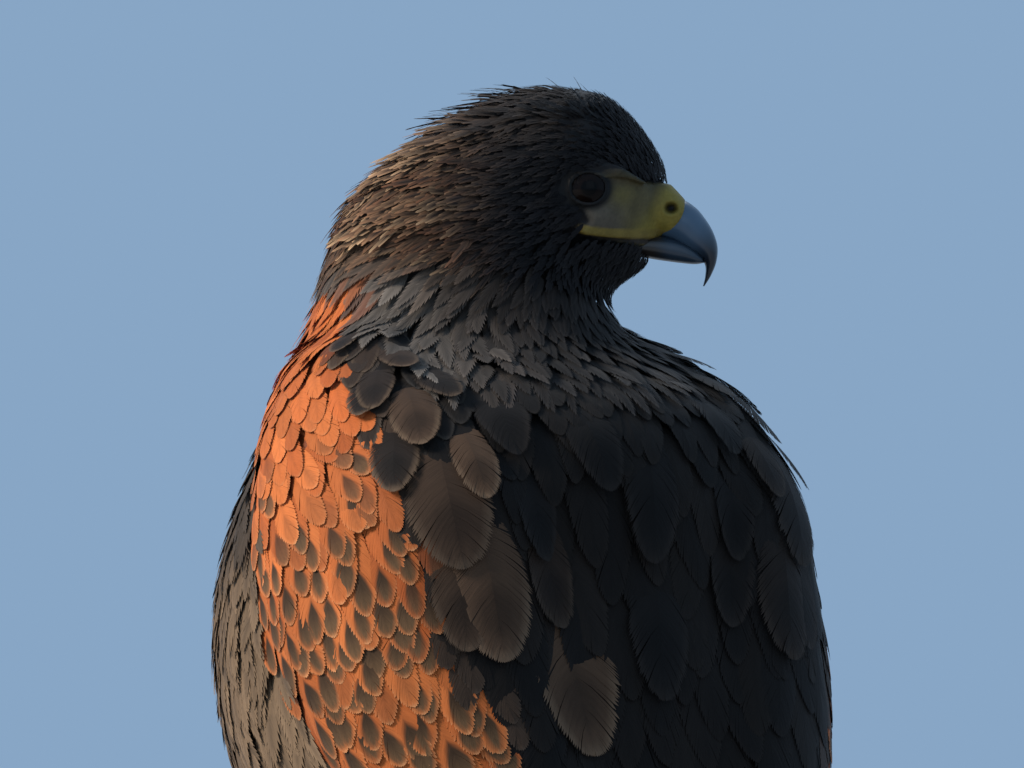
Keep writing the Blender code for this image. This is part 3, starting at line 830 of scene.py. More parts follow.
def head_sections(rows, steps, around):
    """Upright sections of the head."""
    angles = np.linspace(0, 2 * math.pi, around, endpoint=False)
    made = []
    for u, crown, jaw, half in smooth_rows(rows, steps):
        wide, tall = superellipse(angles, half, (crown - jaw) / 2, HEAD_POWER)
        made.append([head_point(u, w, (crown + jaw) / 2 + h) for w, h in zip(wide, tall)])
    return np.array(made)


def leaning_sections(rows, steps, around, power=HEAD_POWER, bulge=0.0):
    """Sections of the head, each between a point of a top edge and one of a lower edge.

    bulge moves the middle of the last one ahead.
    """
    angles = np.linspace(0, 2 * math.pi, around, endpoint=False)
    rows = smooth_rows(rows, steps)
    made = []
    for n, (top_u, top_z, low_u, low_z, half) in enumerate(rows):
        wide, tall = superellipse(angles, half, 0.5, power)
        ahead = bulge * (n / (len(rows) - 1)) ** 3 * (1 - 4 * tall**2)
        made.append([
            head_point(mix(low_u, top_u, h + 0.5) + a, w, mix(low_z, top_z, h + 0.5))
            for w, h, a in zip(wide, tall, ahead)
        ])
    return np.array(made)


def tube(path, around=12):
    """A tapering tube through rows of u, l, z and radius."""
    rows = smooth_rows(path, 4)
    angles = np.linspace(0, 2 * math.pi, around, endpoint=False)
    made = []
    for u, l, z, radius in rows:
        ring = [head_point(u, l + radius * math.cos(a), z + radius * math.sin(a)) for a in angles]
        made.append(ring)
    return loft(np.array(made))


def gape_path(sign):
    """The soft yellow edge of the mouth, along the surface of the head and the cere."""
    rows = []
    for k in range(6):
        u = mix(GAPE_BACK[0], GAPE_FRONT[0] - 0.0006, k / 5)
        z = mix(GAPE_BACK[1], GAPE_FRONT[1], k / 5) - 0.0005 * math.sin(math.pi * k / 5)
        wide = np.interp(u, (0.020, 0.030, 0.037, 0.041, 0.045), (0.0228, 0.0172, 0.0118, 0.0093, 0.0078))
        rows.append((u, sign * min(head_half_width(u, z) + 0.0004, wide), z, 0.0013 - 0.0001 * k))
    return rows


def open_eye(points, sign):
    """Moves the skin round an eye: a lid close over the ball, and nothing in front of the opening."""
    centre, axis = eye_place(sign)
    ahead = unit(np.array(FACING) - axis * np.dot(FACING, axis))
    away = points - centre
    distance = np.linalg.norm(away, axis=1)
    way = away / np.maximum(distance, 1e-9)[:, None]
    angle = np.arccos(np.clip(way @ axis, -1, 1))
    turn = np.arctan2(way @ np.array(UP), way @ ahead)
    edge = 1 / np.sqrt((np.cos(turn) / EYE_WIDE) ** 2 + (np.sin(turn) / EYE_HIGH) ** 2)
    past = angle - edge
    rim = 0.00045 + 0.00025 * np.exp(-((past - 0.06) / 0.05) ** 2)
    lid = EYE_RADIUS + rim
    wanted = mix(0.72 * EYE_RADIUS, lid, step(-0.05, 0.015, past))
    wanted = mix(wanted, distance, step(0.08, 0.50, past))
    near = (angle < 1.5) & (distance < 0.0185) & (distance > 0.004)
    return np.where(near[:, None], centre + way * wanted[:, None], points)


def face_surface():
    """The fine skin of the face, with its colours."""
    cere = leaning_sections(CERE_ROWS, 6, 56, bulge=CERE_BULGE)
    parts = [loft(head_sections(FACE_ROWS, 4, 64)), loft(cere)]
    for _, sign in SIDES:
        parts.append(tube([(u, sign * l, z, r) for u, l, z, r in BROW_PATH]))
        parts.append(tube(gape_path(sign)))
    points, faces, normals = remeshed(parts, FACE_VOXEL, 4)
    u, l, z = head_frame(points)
    bare = smoothed(bare_face(u, z).astype(float), faces, 6)
    feathered = mix(0.0026, 0.0013, step(0.010, 0.034, u)) + 0.0008 * step(0.396, 0.390, z)
    points = points - normals * (feathered * (1 - bare))[:, None]
    points = points - np.array(FACING) * (THROAT_HOLLOW * throat_share(points))[:, None]
    # Nostril: an oval pit with a soft rim
    away = np.hypot((u - NOSTRIL_U) / 1.15, z - NOSTRIL_Z)
    pit = 0.0024 * np.exp(-((away / 0.00150) ** 4)) - 0.00035 * np.exp(-(((away - 0.0022) / 0.0006) ** 2))
    side = np.sign(l) * (abs(l) > 0.003)
    points = points - np.array(HEAD_LEFT) * (pit * side)[:, None]
    # Groove under the soft edge of the mouth
    share = np.clip((u - GAPE_BACK[0]) / (GAPE_FRONT[0] - GAPE_BACK[0]), 0, 1)
    line = mix(GAPE_BACK[1], GAPE_FRONT[1], share) - 0.0005 * np.sin(math.pi * share)
    groove = np.exp(-(((z - line + 0.0019) / 0.0006) ** 2)) * step(0.020, 0.024, u) * 0.0008
    points = points - normals * groove[:, None]
    for _, sign in SIDES:
        points = open_eye(points, sign)
    nearest_u = mix(GAPE_BACK[0], GAPE_FRONT[0], share)
    from_gape = np.hypot(u - nearest_u, z - line)
    return points, faces, face_colours(u, l, z, away, z - line, from_gape, bare)


def face_colours(u, l, z, nostril_distance, over_gape, from_gape, bare):
    """Black round the eye, partly painted shade, grey skin below it, olive and then yellow toward the cere
    and the mouth.
    """
    places = np.stack([u, l, z], -1)
    speckle = (random.normal(0, 1, len(u)) * 0.04 + mottle(places, 0.003) * 0.12)[:, None]
    # Skin under the face's feathers: their black, darkened further as painted shade.
    colour = np.broadcast_to(FACE_BLACK * 0.6, (len(u), 3))
    lore = mix(LORE_GREY, LORE_OLIVE, step(0.026, 0.038, u + 0.002 * mottle(places, 0.006))[:, None])
    yellow = step(0.004, 0.012, u - 0.0330 + 0.9 * (0.4085 - z)) * step(0.4150, 0.4100, z)
    yellow = np.maximum(yellow, 0.70 * np.exp(-((np.hypot(u - 0.0325, z - 0.4125) / 0.0032) ** 2)))
    lore = mix(lore, LORE_YELLOW, yellow[:, None])
    # Painted shade: the lore darker toward its top, under the brow ridge.
    lore = lore * mix(1.0, 0.45, step(0.4105, 0.4185, z - 0.3 * (0.040 - u)))[:, None]
    colour = mix(colour, lore, step(0.3, 0.7, bare)[:, None])
    behind = 0.0440 + (z - 0.4085) * 0.42 - 0.0020 * step(0.405, 0.402, z)
    cere = step(-0.0050, 0.0016, u - behind) * step(0.3, 0.7, bare)
    colour = mix(colour, CERE_YELLOW, cere[:, None])
    gape = step(0.00180, 0.00110, from_gape)
    colour = mix(colour, GAPE_YELLOW, gape[:, None])
    # Painted shade: the skin just under the gape's soft edge darker brown.
    jaw = step(-0.0011, -0.0017, over_gape) * step(0.3, 0.7, bare)
    colour = mix(colour, rgb(56, 48, 41), jaw[:, None])
    brow = step(0.4195, 0.4205, z) * step(0.3, 0.7, bare)
    colour = mix(colour, rgb(48, 44, 36), 0.85 * brow[:, None])
    # Near-black round the eye: partly the lids' own dark skin, partly painted shade of the eye's hollow
    # under the brow.
    ring = np.hypot((u - EYE_U) / 1.12, z - EYE_Z)
    colour = mix(colour, rgb(13, 11, 10), step(0.0086, 0.0064, ring)[:, None] * (1 - 0.5 * brow[:, None]))
    # Painted shade: the nostril's pit near-black, as the shade inside it.
    pit = np.exp(-((nostril_distance / 0.0016) ** 4))
    colour = mix(colour, BLACK_BROWN * 0.25, pit[:, None])
    return colour * (1 + speckle)


def skin():
    """One skin for the whole body. It lies inside the coat, and bare on the face."""
    points = form_points - form_normals * coat_depth[:, None]
    u, _, z = head_frame(form_points)
    inside_face = step(0.004, 0.014, u) * step(0.376, 0.388, z)
    points = points - form_normals * (0.004 * inside_face)[:, None]
    face_points, face_faces, face_colour = face_surface()
    all_points = np.concatenate([points, face_points])
    all_faces = np.concatenate([form_faces, face_faces + len(points)])
    colour = np.concatenate([shaded_plumage_tint(form_points, form_region), face_colour])
    piece("skin", all_points, all_faces, colour, SKIN, stands_for=FLESH + ("cere",))


# Eyes and bill

CORNEA_HEIGHT = 0.0005
PUPIL_RADIUS = 0.0022
IRIS_RADIUS = 0.0042


def eyes():
    """Two eyeballs, each with a swollen cornea, a pupil and an iris."""
    around = 56
    angles = np.linspace(0, 2 * math.pi, around, endpoint=False)
    for side, sign in SIDES:
        centre, axis = eye_place(sign)
        across = unit(np.cross(axis, np.array(UP)))
        over = np.cross(across, axis)
        rings, colours = [], []
        for polar in np.linspace(0.03, math.pi - 0.03, 60):
            radius = EYE_RADIUS + CORNEA_HEIGHT * math.exp(-((polar / 0.42) ** 4))
            ring = [
                centre + axis * radius * math.cos(polar)
                + (across * math.cos(a) + over * math.sin(a)) * radius * math.sin(polar)
                for a in angles
            ]
            rings.append(ring)
            spread = radius * math.sin(polar) if polar < 1.5 else 1.0
            iris = mix(PUPIL, IRIS, step(PUPIL_RADIUS, PUPIL_RADIUS + 0.0005, spread))
            colours.append(mix(iris, EYE_RIM, step(IRIS_RADIUS, IRIS_RADIUS + 0.0007, spread)))
        points, faces = loft(np.array(rings))
        colour = np.concatenate([np.repeat(colours, around, 0), [PUPIL], [EYE_RIM]])
        piece(f"eyeball_{side}", points, faces, colour, EYE, stands_for=(f"eye_{side}",))


BILL_BASE_U, BILL_BASE_Z = 0.0516, 0.4108
UPPER_BILL = (
    # shares of the culmen's chord from the top of the bill's base: ahead and down for the top edge and
    # for the lower edge, and half width
    (-0.12, 0.02, -0.40, 0.395, 0.170),
    (-0.03, -0.010, -0.31, 0.410, 0.285),
    (0.09, 0.062, -0.22, 0.440, 0.275),
    (0.178, 0.153, -0.135, 0.480, 0.252),
    (0.292, 0.325, -0.005, 0.560, 0.210),
    (0.357, 0.517, 0.150, 0.640, 0.160),
    (0.345, 0.700, 0.215, 0.745, 0.105),
    (0.280, 0.865, 0.215, 0.870, 0.058),
    (0.205, 0.985, 0.190, 0.985, 0.012),
)
LOWER_BILL = (
    # top u, top z, lower u, lower z, half width
    (0.0330, 0.4008, 0.0320, 0.3952, 0.0090),
    (0.0380, 0.4010, 0.0375, 0.3944, 0.0080),
    (0.0440, 0.4008, 0.0435, 0.3934, 0.0068),
    (0.0490, 0.3998, 0.0495, 0.3926, 0.0056),
    (0.0530, 0.3976, 0.0540, 0.3922, 0.0044),
    (0.0558, 0.3950, 0.0568, 0.3926, 0.0024),
)


def bill():
    """The hooked upper bill, and the lower one under it."""
    base = np.array([BILL_BASE_U, BILL_BASE_Z] * 2 + [0.0])
    rows = base + np.array(UPPER_BILL) * CULMEN_CHORD * np.array([1, -1, 1, -1, 1])
    points, faces = loft(leaning_sections(rows, 8, 56, 2.05))
    u, _, z = head_frame(points)
    down = np.clip((BILL_BASE_Z - z) / CULMEN_CHORD, 0, 1)
    colour = mix(BILL_BLUE, BILL_TIP, step(0.30, 0.95, down + 0.25 * step(0.052, 0.060, u))[:, None])
    piece("bill_upper_horn", points, faces, colour, HORN, stands_for=("bill_upper",))
    points, faces = loft(leaning_sections(LOWER_BILL, 6, 40, 2.3))
    u, _, _ = head_frame(points)
    # Painted shade: the lower bill's blue-grey at about a third of the upper bill's, and dark brown behind
    # it, as shade under the upper bill.
    colour = mix(rgb(40, 34, 29), BILL_BLUE * 0.36, step(0.041, 0.047, u)[:, None])
    piece("bill_lower_horn", points, faces, colour, HORN, stands_for=("bill_lower",))


# Legs

# The foot's hub and the tarsus's middle, for the left leg, and the length of their plates
HUB_X, HUB_Y = 0.034, -0.006
TARSUS_X = 0.035
TOE_PLATE = 0.0027
TARSUS_PLATE = 0.0050
LEG_VOXEL = 0.0008
CLAW_VOXEL = 0.00045


def legs():
    """Each tarsus and foot as one piece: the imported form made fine, with plates on the leg and toes."""
    for side, sign in SIDES:
        parts = [node_arrays(f"{part}_{side}") for part in ("tarsus", "foot")]
        points, faces, normals = remeshed([(p + n * OVERLAP, f) for p, f, n in parts], LEG_VOXEL, 3)
        x, y, z = points.T
        reach = np.hypot(x - sign * HUB_X, y - HUB_Y)
        on_toes = step(0.0165, 0.0120, z)
        tarsal = (z - 0.0012 * np.cos((x - sign * TARSUS_X) / 0.004)) / TARSUS_PLATE
        plate = np.where(on_toes > 0.5, reach / TOE_PLATE, tarsal)
        front = mix(step(0.1, 0.7, -normals[:, 1]), step(0.2, 0.8, normals[:, 2]), on_toes)
        saw = plate - np.floor(plate)
        crease_depth_and_shade = np.exp(-((np.minimum(saw, 1 - saw) / 0.10) ** 2))
        points = points + normals * ((0.00020 - 0.00045 * crease_depth_and_shade) * front - 0.0003)[:, None]
        points[:, 2] = np.maximum(points[:, 2], 0.0)
        # Painted shade: the leg's yellow darker in the creases between plates, most on the front.
        colour = mix(LEG_YELLOW, LEG_YELLOW * 0.55, (crease_depth_and_shade * (0.15 + 0.6 * front))[:, None])
        # Painted shade: the lowest 3 mm darker, as shade under the toes next to the floor.
        colour = mix(colour, LEG_YELLOW * 0.62, step(0.0030, 0.0, z)[:, None])
        nodes = (f"tarsus_{side}", f"foot_{side}")
        piece(f"leg_scales_{side}", points, faces, colour, SCALES, stands_for=nodes)


def claws():
    """Talons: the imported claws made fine."""
    for side, _ in SIDES:
        for toe in ("inner", "middle", "outer", "hind"):
            name = f"claw_{toe}_{side}"
            points, faces, _ = node_arrays(name)
            points, faces, _ = remeshed([(points, faces)], CLAW_VOXEL, 2)
            piece(f"talon_{toe}_{side}", points, faces, TALON_BLACK, TALON, stands_for=(name,))


# Plumage of the head and neck

def head_coat():
    """The smallest feathers: in raised clumps on the crown, and streaked with rufous on the nape."""
    vane = Vane(5, widest=0.42, point=0.85, fray=0.3)
    u, _, z = head_frame(face_centres)
    bill_side = (u > 0.0385) & (z < 0.4105) & (z > 0.3945)
    chosen = np.flatnonzero((face_region == HEAD) & ~bare_face(u, z) & ~bill_side)
    all_roots, all_normals = scatter(chosen, mix(0.0018, 0.0010, step(0.008, 0.034, u)))
    _, l, _ = head_frame(all_roots)
    for side, sign in SIDES:
        roots, normals = all_roots[l * sign > 0], all_normals[l * sign > 0]
        u, across, z = head_frame(roots)
        count = len(roots)
        near_bill = step(0.006, 0.034, u)
        back = step(0.006, -0.024, u)
        throat = step(0.008, 0.018, u) * step(0.400, 0.392, z)
        crown = step(0.420, 0.436, z) * step(0.034, 0.024, u)
        forehead = step(0.024, 0.034, u) * step(0.4150, 0.4200, z)
        streak = mottle(np.stack([u * 0.35, across, z], -1), 0.009)
        clump = np.maximum(crown, 0.5 * back) * step(0.0, 0.7, streak)
        lengths = mix(mix(0.0105, 0.0150, back), 0.0048, near_bill) * np.exp(random.normal(0, 0.12, count))
        lengths = mix(lengths, 0.0048, throat) * (1 + 0.25 * clump)
        widths = mix(mix(0.0014, 0.0020, back), 0.0009, near_bill) * (1 + 0.35 * clump)
        spike = 0.0032 * crown * (random.rand(count) > 0.96)
        raised = clump * random.uniform(0.0026, 0.0054, count)
        lifts = spike + raised + (back * 0.0022 + 0.0005) * random.rand(count) ** 3
        ways = tilted(flow(roots), normals, 10)
        depths = mix(mix(0.0026, 0.0009, near_bill), 0.0012, throat)
        sink = 0.0012 * crown - 0.0003 * throat - 0.0008 * forehead
        knots = lay(roots, ways, lengths, widths, depths=depths, lifts=lifts, sink=sink)
        warm = (back * random.uniform(0.2, 1.0, count))[:, None]
        top = (step(0.424, 0.436, z) * step(0.030, 0.012, u))[:, None]
        dark = mix(mix(FACE_BLACK, rgb(42, 36, 33), top), WARM_BROWN * 0.8, warm)
        buff = np.clip(random.rand(count, 1) ** 2 + 0.5 * streak[:, None], 0, 1)
        edge = mix(NAPE_RUFOUS, BUFF * 1.15, buff)
        fringe = mix(mix(rgb(40, 36, 34), rgb(78, 69, 62), top), edge, step(0.010, -0.022, u)[:, None])
        shade = (1 + 0.42 * back * streak)[:, None]
        dark, fringe = dark * shade, fringe * shade
        amount = 0.4 + 0.6 * back
        colour = plain_colours(count, dark, fringe, variety=0.24, fringe_width=0.5, amount=amount)
        spots = round_unwrap(roots, head_point(0.0, 0.0, 0.0), 0.380, 0.448)
        coat(f"head_coat_{side}", "head_feather", vane, knots, colour, spots, gaps=0.05)


def under_face(u, z):
    """1 on the part of the neck under the face, where its feathers are small, and 0 elsewhere."""
    return step(-0.006, 0.012, u) * step(0.364, 0.378, z)


def neck_coat():
    """Streaked feathers, grey at the base of the nape, rufous where they reach the shoulder."""
    u, _, z = head_frame(face_centres)
    chosen = np.flatnonzero(face_region == NECK)
    spacing = mix(0.0037, 0.0025, step(0.372, 0.402, z))
    roots, normals = scatter(chosen, mix(spacing, 0.0019, under_face(u, z)))
    u, l, z = head_frame(roots)
    count = len(roots)
    high = step(0.376, 0.404, z)
    throat = under_face(u, z)
    uneven = random.normal(0, 1.0, count) * mix(0.22, 0.10, high)
    lengths = mix(mix(0.0230, 0.0160, high), 0.0080, throat) * np.exp(uneven)
    widths = mix(mix(0.0036, 0.0020, high), 0.0017, throat)
    ways = tilted(flow(roots), normals, 9)
    streak = mottle(np.stack([u, l, z * 0.5], -1), 0.009)
    lifts = (0.0010 * random.rand(count) ** 2 + 0.0014 * step(0, 0.8, streak)) * (1 - throat)
    knots = lay(roots, ways, lengths, widths, depths=mix(0.0036, 0.0014, throat), lifts=lifts, camber=0.05)
    nape = step(0.002, -0.028, u)[:, None]
    grey = step(0.402, 0.390, z)[:, None]
    warm = nape * (1 - 0.7 * grey)
    plain = mix(BLACK_BROWN, DARK_BROWN * 1.25, step(0.016, -0.010, u)[:, None])
    dark = mix(plain, WARM_BROWN, warm * random.uniform(0.3, 1.0, (count, 1)))
    fringe = mix(rgb(62, 56, 52), mix(NAPE_RUFOUS, BUFF, random.rand(count, 1) ** 2), warm)
    fringe = mix(fringe, GREY_FRINGE * 1.6, 0.8 * nape * grey)
    dark = mix(dark, GREY_FRINGE * 0.7, 0.8 * nape * grey)
    shade = (1 + 0.35 * streak)[:, None]
    seen = roots + unit(ways) * (0.7 * lengths)[:, None]
    rufous = on_shoulder(seen, random.normal(0, 0.0012, count))[:, None]
    dark = mix(dark * shade, mix(RUFOUS, DEEP_RUFOUS, random.rand(count, 1)), rufous)
    fringe = mix(fringe * shade, RUFOUS, rufous)
    colour = plain_colours(count, dark, fringe, variety=0.16, fringe_width=0.4, amount=0.85)
    spots = round_unwrap(roots, head_point(-0.01, 0.0, 0.0), 0.355, 0.415)
    vane = Vane(16, widest=0.50, point=0.65, fray=0.25)
    coat("neck_coat", "neck_feather", vane, knots, colour, spots, gaps=0.015)


# Plumage of the trunk and thighs

def back_share(points):
    """1 on the back and 0 on the breast and belly."""
    middle = np.interp(points[:, 2], (0.12, 0.20, 0.26, 0.34, 0.38), (0.085, 0.045, 0.016, 0.002, -0.010))
    return step(-0.012, 0.012, points[:, 1] - middle)


def mantle_coat():
    """Large soft feathers over the back and over the dark rear part of both wings."""
    z = face_centres[:, 2]
    outer = (face_normals[:, :2] * (face_centres[:, :2] - np.array([0.0, 0.02]))).sum(1) > 0
    wing = (face_region >= WING_LEFT) & (behind_shoulder(face_centres) > 0.001) & (z > 0.222) & outer
    chosen = np.flatnonzero(wing | ((face_region == TRUNK) & (back_share(face_centres) > 0.3)))
    roots, normals = scatter(chosen, mix(0.0094, 0.0052, step(0.335, 0.366, z)))
    ways = tilted(flow(roots), normals, 6)
    top = step(0.330, 0.366, roots[:, 2])
    lengths = mix(0.047, 0.023, top) * np.exp(random.normal(0, 0.08, len(roots)))
    seen = roots + unit(ways) * (0.8 * lengths)[:, None]
    kept = on_shoulder(seen) < 0.5
    roots, ways, top, lengths = roots[kept], ways[kept], top[kept], lengths[kept]
    z = roots[:, 2]
    count = len(roots)
    rump = step(0.215, 0.185, z)
    widths = mix(0.0090, 0.0050, top) * np.exp(random.normal(0, 0.08, count))
    knots = lay(roots, ways, lengths, widths, lifts=0.0004 * random.rand(count) ** 2, camber=0.03)
    # Painted shade: the mantle's own browns darkened to 0.55.
    dark = mix(DARK_BROWN * 0.55, BLACK_BROWN * 0.55, random.rand(count, 1))
    warm = step(0.012, 0.0, behind_shoulder(roots))[:, None] * random.uniform(0.2, 0.8, (count, 1))
    dark = mix(dark, WARM_BROWN * 0.9, warm)
    # Painted light: paler grey fringes on the upper mantle's sunlit side only.
    painted_light_side = step(-0.010, -0.030, roots @ np.array(FACING))[:, None]
    fringe = mix(mix(rgb(38, 32, 27), GREY_FRINGE * 0.9, 0.5 * top[:, None] * painted_light_side), BUFF * 0.75, warm)
    dark, fringe = mix(dark, WHITE, rump[:, None]), mix(fringe, WHITE, rump[:, None])
    colour = plain_colours(count, dark, fringe, variety=0.12, fringe_width=0.25, amount=0.35 + 0.4 * top)
    spots = round_unwrap(roots, (0.0, 0.0), 0.12, 0.38)
    vane = Vane(36, widest=0.50, point=0.3, base=0.6, fray=0.10, slant=0.28, levels=4)
    growth = {"gaps": 0.014, "clumps": 4, "ruffle": 0.3}
    coat("mantle_coat", "body_feather", vane, knots, colour, spots, patch=(0.009, 0.009), **growth)


def breast_coat():
    """Soft dark feathers, browner on the flanks and white at the vent."""
    vane = Vane(14, widest=0.55, point=0.5, fray=0.25)
    z = face_centres[:, 2]
    trunk = (face_region == TRUNK) & (back_share(face_centres) <= 0.55)
    thigh_top = (z < 0.222) & (face_centres[:, 1] < 0.040)
    chosen = np.flatnonzero(trunk & ~thigh_top)
    all_roots, all_normals = scatter(chosen, np.full(len(face_centres), 0.0034))
    for side, sign in SIDES:
        mine = all_roots[:, 0] * sign > 0
        roots, normals = all_roots[mine], all_normals[mine]
        z = roots[:, 2]
        count = len(roots)
        lengths = mix(0.026, 0.020, step(0.30, 0.36, z)) * np.exp(random.normal(0, 0.12, count))
        widths = mix(0.0042, 0.0036, step(0.30, 0.36, z)) * np.exp(random.normal(0, 0.10, count))
        fluff = mottle(roots, 0.014)
        ways = tilted(flow(roots), normals, 14)
        lifts = 0.0010 * random.rand(count) ** 2 + 0.0005 * step(0, 1, fluff)
        knots = lay(roots, ways, lengths, widths, lifts=lifts)
        out = abs(roots[:, 0]) + random.normal(0, 0.004, count)
        flank = step(0.030, 0.080, out)[:, None] * step(0.335, 0.300, z)[:, None]
        low = step(0.190, 0.165, z)[:, None] * step(0.030, 0.055, roots[:, 1])[:, None]
        dark = mix(BLACK_BROWN * 1.15, DARK_BROWN, random.rand(count, 1))
        dark = mix(dark, rgb(82, 67, 52), 0.6 * step(0.034, 0.068, out)[:, None] * (1 - flank) * (1 - low))
        fringe = mix(rgb(66, 56, 47), BREAST * 1.15, flank)
        dark = mix(mix(dark, BREAST, flank * random.uniform(0.55, 1, (count, 1))), WHITE, low)
        fringe = mix(fringe, WHITE, low)
        shade = (1 + 0.18 * fluff)[:, None]
        rufous = on_shoulder(roots, random.normal(0, 0.002, count))[:, None] * step(0.350, 0.358, z)[:, None]
        dark, fringe = mix(dark * shade, RUFOUS, rufous), mix(fringe * shade, RUFOUS, rufous)
        colour = plain_colours(count, dark, fringe, variety=0.09, fringe_width=0.6, amount=0.8)
        spots = round_unwrap(roots, (0.0, 0.0), 0.12, 0.38)
        coat(f"breast_coat_{side}", "body_feather", vane, knots, colour, spots, gaps=0.02, ruffle=0.6)


def thigh_coat():
    """Rufous trousers with faint bars, down to the tarsus."""
    vane = Vane(9, widest=0.55, point=0.35, fray=0.25)
    for (side, sign), region in zip(SIDES, (THIGH_LEFT, THIGH_RIGHT)):
        z = face_centres[:, 2]
        upper = (face_region == TRUNK) & (z < 0.228) & (face_centres[:, 1] < 0.045)
        upper &= (back_share(face_centres) <= 0.55) & (face_centres[:, 0] * sign > 0)
        chosen = np.flatnonzero((face_region == region) | upper)
        roots, normals = scatter(chosen, mix(0.0034, 0.0050, step(0.11, 0.18, z)))
        z = roots[:, 2]
        count = len(roots)
        lengths = mix(0.014, 0.025, step(0.10, 0.19, z)) * np.exp(random.normal(0, 0.1, count))
        lengths = np.minimum(lengths, np.maximum(0.006, (z - 0.078) * 0.9))
        widths = mix(0.0029, 0.0048, step(0.10, 0.19, z))
        ways = flow(roots)
        ways[:, 1] = mix(0.12, ways[:, 1], step(0.20, 0.24, z))
        knots = lay(roots, tilted(ways, normals, 8), lengths, widths, lifts=0.0014 * random.rand(count) ** 2)
        down = step(0.240, 0.205, z + random.normal(0, 0.006, count))[:, None]
        blend = down * random.uniform(0.75, 1, (count, 1))
        dark = mix(DARK_BROWN, THIGH_RUFOUS, blend)
        fringe = mix(rgb(76, 62, 52), RUFOUS_FRINGE * 0.6, blend)
        plain = plain_colours(count, dark, fringe, variety=0.14, fringe_width=0.4, amount=0.8)

        def barred(t, s, v):
            bars = 0.5 + 0.5 * np.cos(t * 2 * math.pi * 4.5)
            return plain(t, s, v) * (1 - 0.22 * (bars * step(0.2, 0.5, t))[..., None])

        spots = round_unwrap(roots, (sign * 0.038, 0.0), 0.075, 0.235)
        coat(f"thigh_coat_{side}", "thigh_feather", vane, knots, barred, spots, gaps=0.045)


# Plumage of the wings

COVERT_TOP, COVERT_END = 0.3735, 0.196
COVERT_HEIGHTS = (0.20, 0.25, 0.28, 0.33, 0.37)
COVERT_WIDTHS = (0.0125, 0.0108, 0.0090, 0.0080, 0.0062)
COVERT_STEPS = (0.0125, 0.0092, 0.0072, 0.0060, 0.0046)


def covert_rows():
    """Shares, heights and widths of a wing's coverts, row under row, each row set off by half a feather."""
    share, height, size = [], [], []
    z = COVERT_TOP
    row = 0
    while z > COVERT_END:
        wide = np.interp(z, COVERT_HEIGHTS, COVERT_WIDTHS)
        line = wing_point(np.linspace(0.02, 0.98, 40), np.full(40, z), 1.0)
        arc = np.linalg.norm(np.diff(line, axis=0), axis=1).sum()
        count = max(4, int(round(arc / wide)))
        places = (np.arange(count) + 0.25 + 0.5 * (row % 2)) / count
        share += list(0.02 + 0.96 * places)
        height += [z] * count
        size += [wide] * count
        z -= np.interp(z, COVERT_HEIGHTS, COVERT_STEPS)
        row += 1
    return np.array(share), np.array(height), np.array(size)


def covert_colours(roots):
    """Rufous feathers, solid at the shoulder and with a dark drop on each further down; dark ones behind."""
    count = len(roots)
    z = roots[:, 2]
    rufous = on_shoulder(roots, random.normal(0, 0.0012, count))
    solid = step(0.322, 0.348, z + random.normal(0, 0.009, count))
    shade = np.exp(random.normal(0, 0.08, count) + 0.14 * mottle(roots, 0.02))[:, None, None]
    drop_wide = ((0.62 + random.normal(0, 0.08, count)) * mix(1.18, 0.95, step(0.22, 0.30, z)))[:, None]
    drop_end = (0.970 + random.normal(0, 0.012, count))[:, None]
    rear = step(-0.020, 0.0, behind_shoulder(roots))[:, None]
    deep = np.clip(0.8 * random.rand(count, 1) ** 1.5 + 0.4 * rear, 0, 1)
    orange = mix(RUFOUS, DEEP_RUFOUS, deep)[:, None]
    behind = mix(DARK_BROWN, WARM_BROWN, 0.4 * random.rand(count, 1))[:, None]
    weak = 1 - 0.7 * (random.rand(count, 1) > 0.86)

    def colour(t, s, v):
        narrow = mix(0.45, 1.0, step(0.48, 0.80, t))
        drop = 1 - step(0.76, 1.10, np.hypot(s / (drop_wide * narrow), (t - drop_end + 0.24) / 0.25))
        drop = drop * (1 - solid[:, None]) * weak
        centre = mix(rgb(62, 44, 29), rgb(102, 76, 51), step(0.6, 0.95, t)[..., None])
        red = mix(orange, centre, drop[..., None])
        edge = np.maximum(step(0.86, 1.0, v), step(0.960, 0.99, t)) * step(0.6, 0.85, t)
        red = mix(red, RUFOUS_FRINGE, (0.48 * edge * (1 - 0.6 * solid[:, None]))[..., None])
        dark = mix(behind, rgb(84, 70, 58), (0.5 * edge)[..., None])
        streak = (1 - step(0.02, 0.09, v)) * 0.15
        return mix(dark, red, rufous[:, None, None]) * shade * (1 - streak[..., None])

    return colour


def wing_coat():
    """The coverts of both wings, row over row."""
    share, z, size = covert_rows()
    vane = Vane(24, widest=0.60, point=0.25, base=0.6, fray=0.10, slant=0.28, levels=4)
    for side, sign in SIDES:
        here = np.clip(share + random.normal(0, 0.008, len(share)), 0.0, 0.99)
        height = z + random.normal(0, 0.0014, len(z))
        roots = wing_point(here, height, sign)
        kept = (behind_shoulder(roots) < 0.006) | (height < 0.240)
        here, height, wide, roots = here[kept], height[kept], size[kept], roots[kept]
        ways = wing_flow(here, height, sign)
        ways = tilted(ways, unit(roots * np.array([1, 1, 0])), 6)
        lengths = wide * 3.0 * np.exp(random.normal(0, 0.08, len(wide)))
        sink = -0.0006 * step(0.236, 0.210, height)
        lifts = 0.0004 * random.rand(len(wide))
        knots = lay(roots, ways, lengths, wide * 0.60, lifts=lifts, camber=0.04, sink=sink)
        spots = np.stack([0.03 + 0.94 * here, (height - 0.18) / 0.20], -1)
        growth = {"patch": (0.015, 0.015), "gaps": 0.018, "ruffle": 0.4}
        coat(f"wing_coverts_{side}", "wing_feather", vane, knots, covert_colours(roots), spots, **growth)


# The long feathers of a wing, and how deep under the coverts their roots are
REMEX_COUNT = 16
REMEX_ROOT_DEPTH = 0.0036


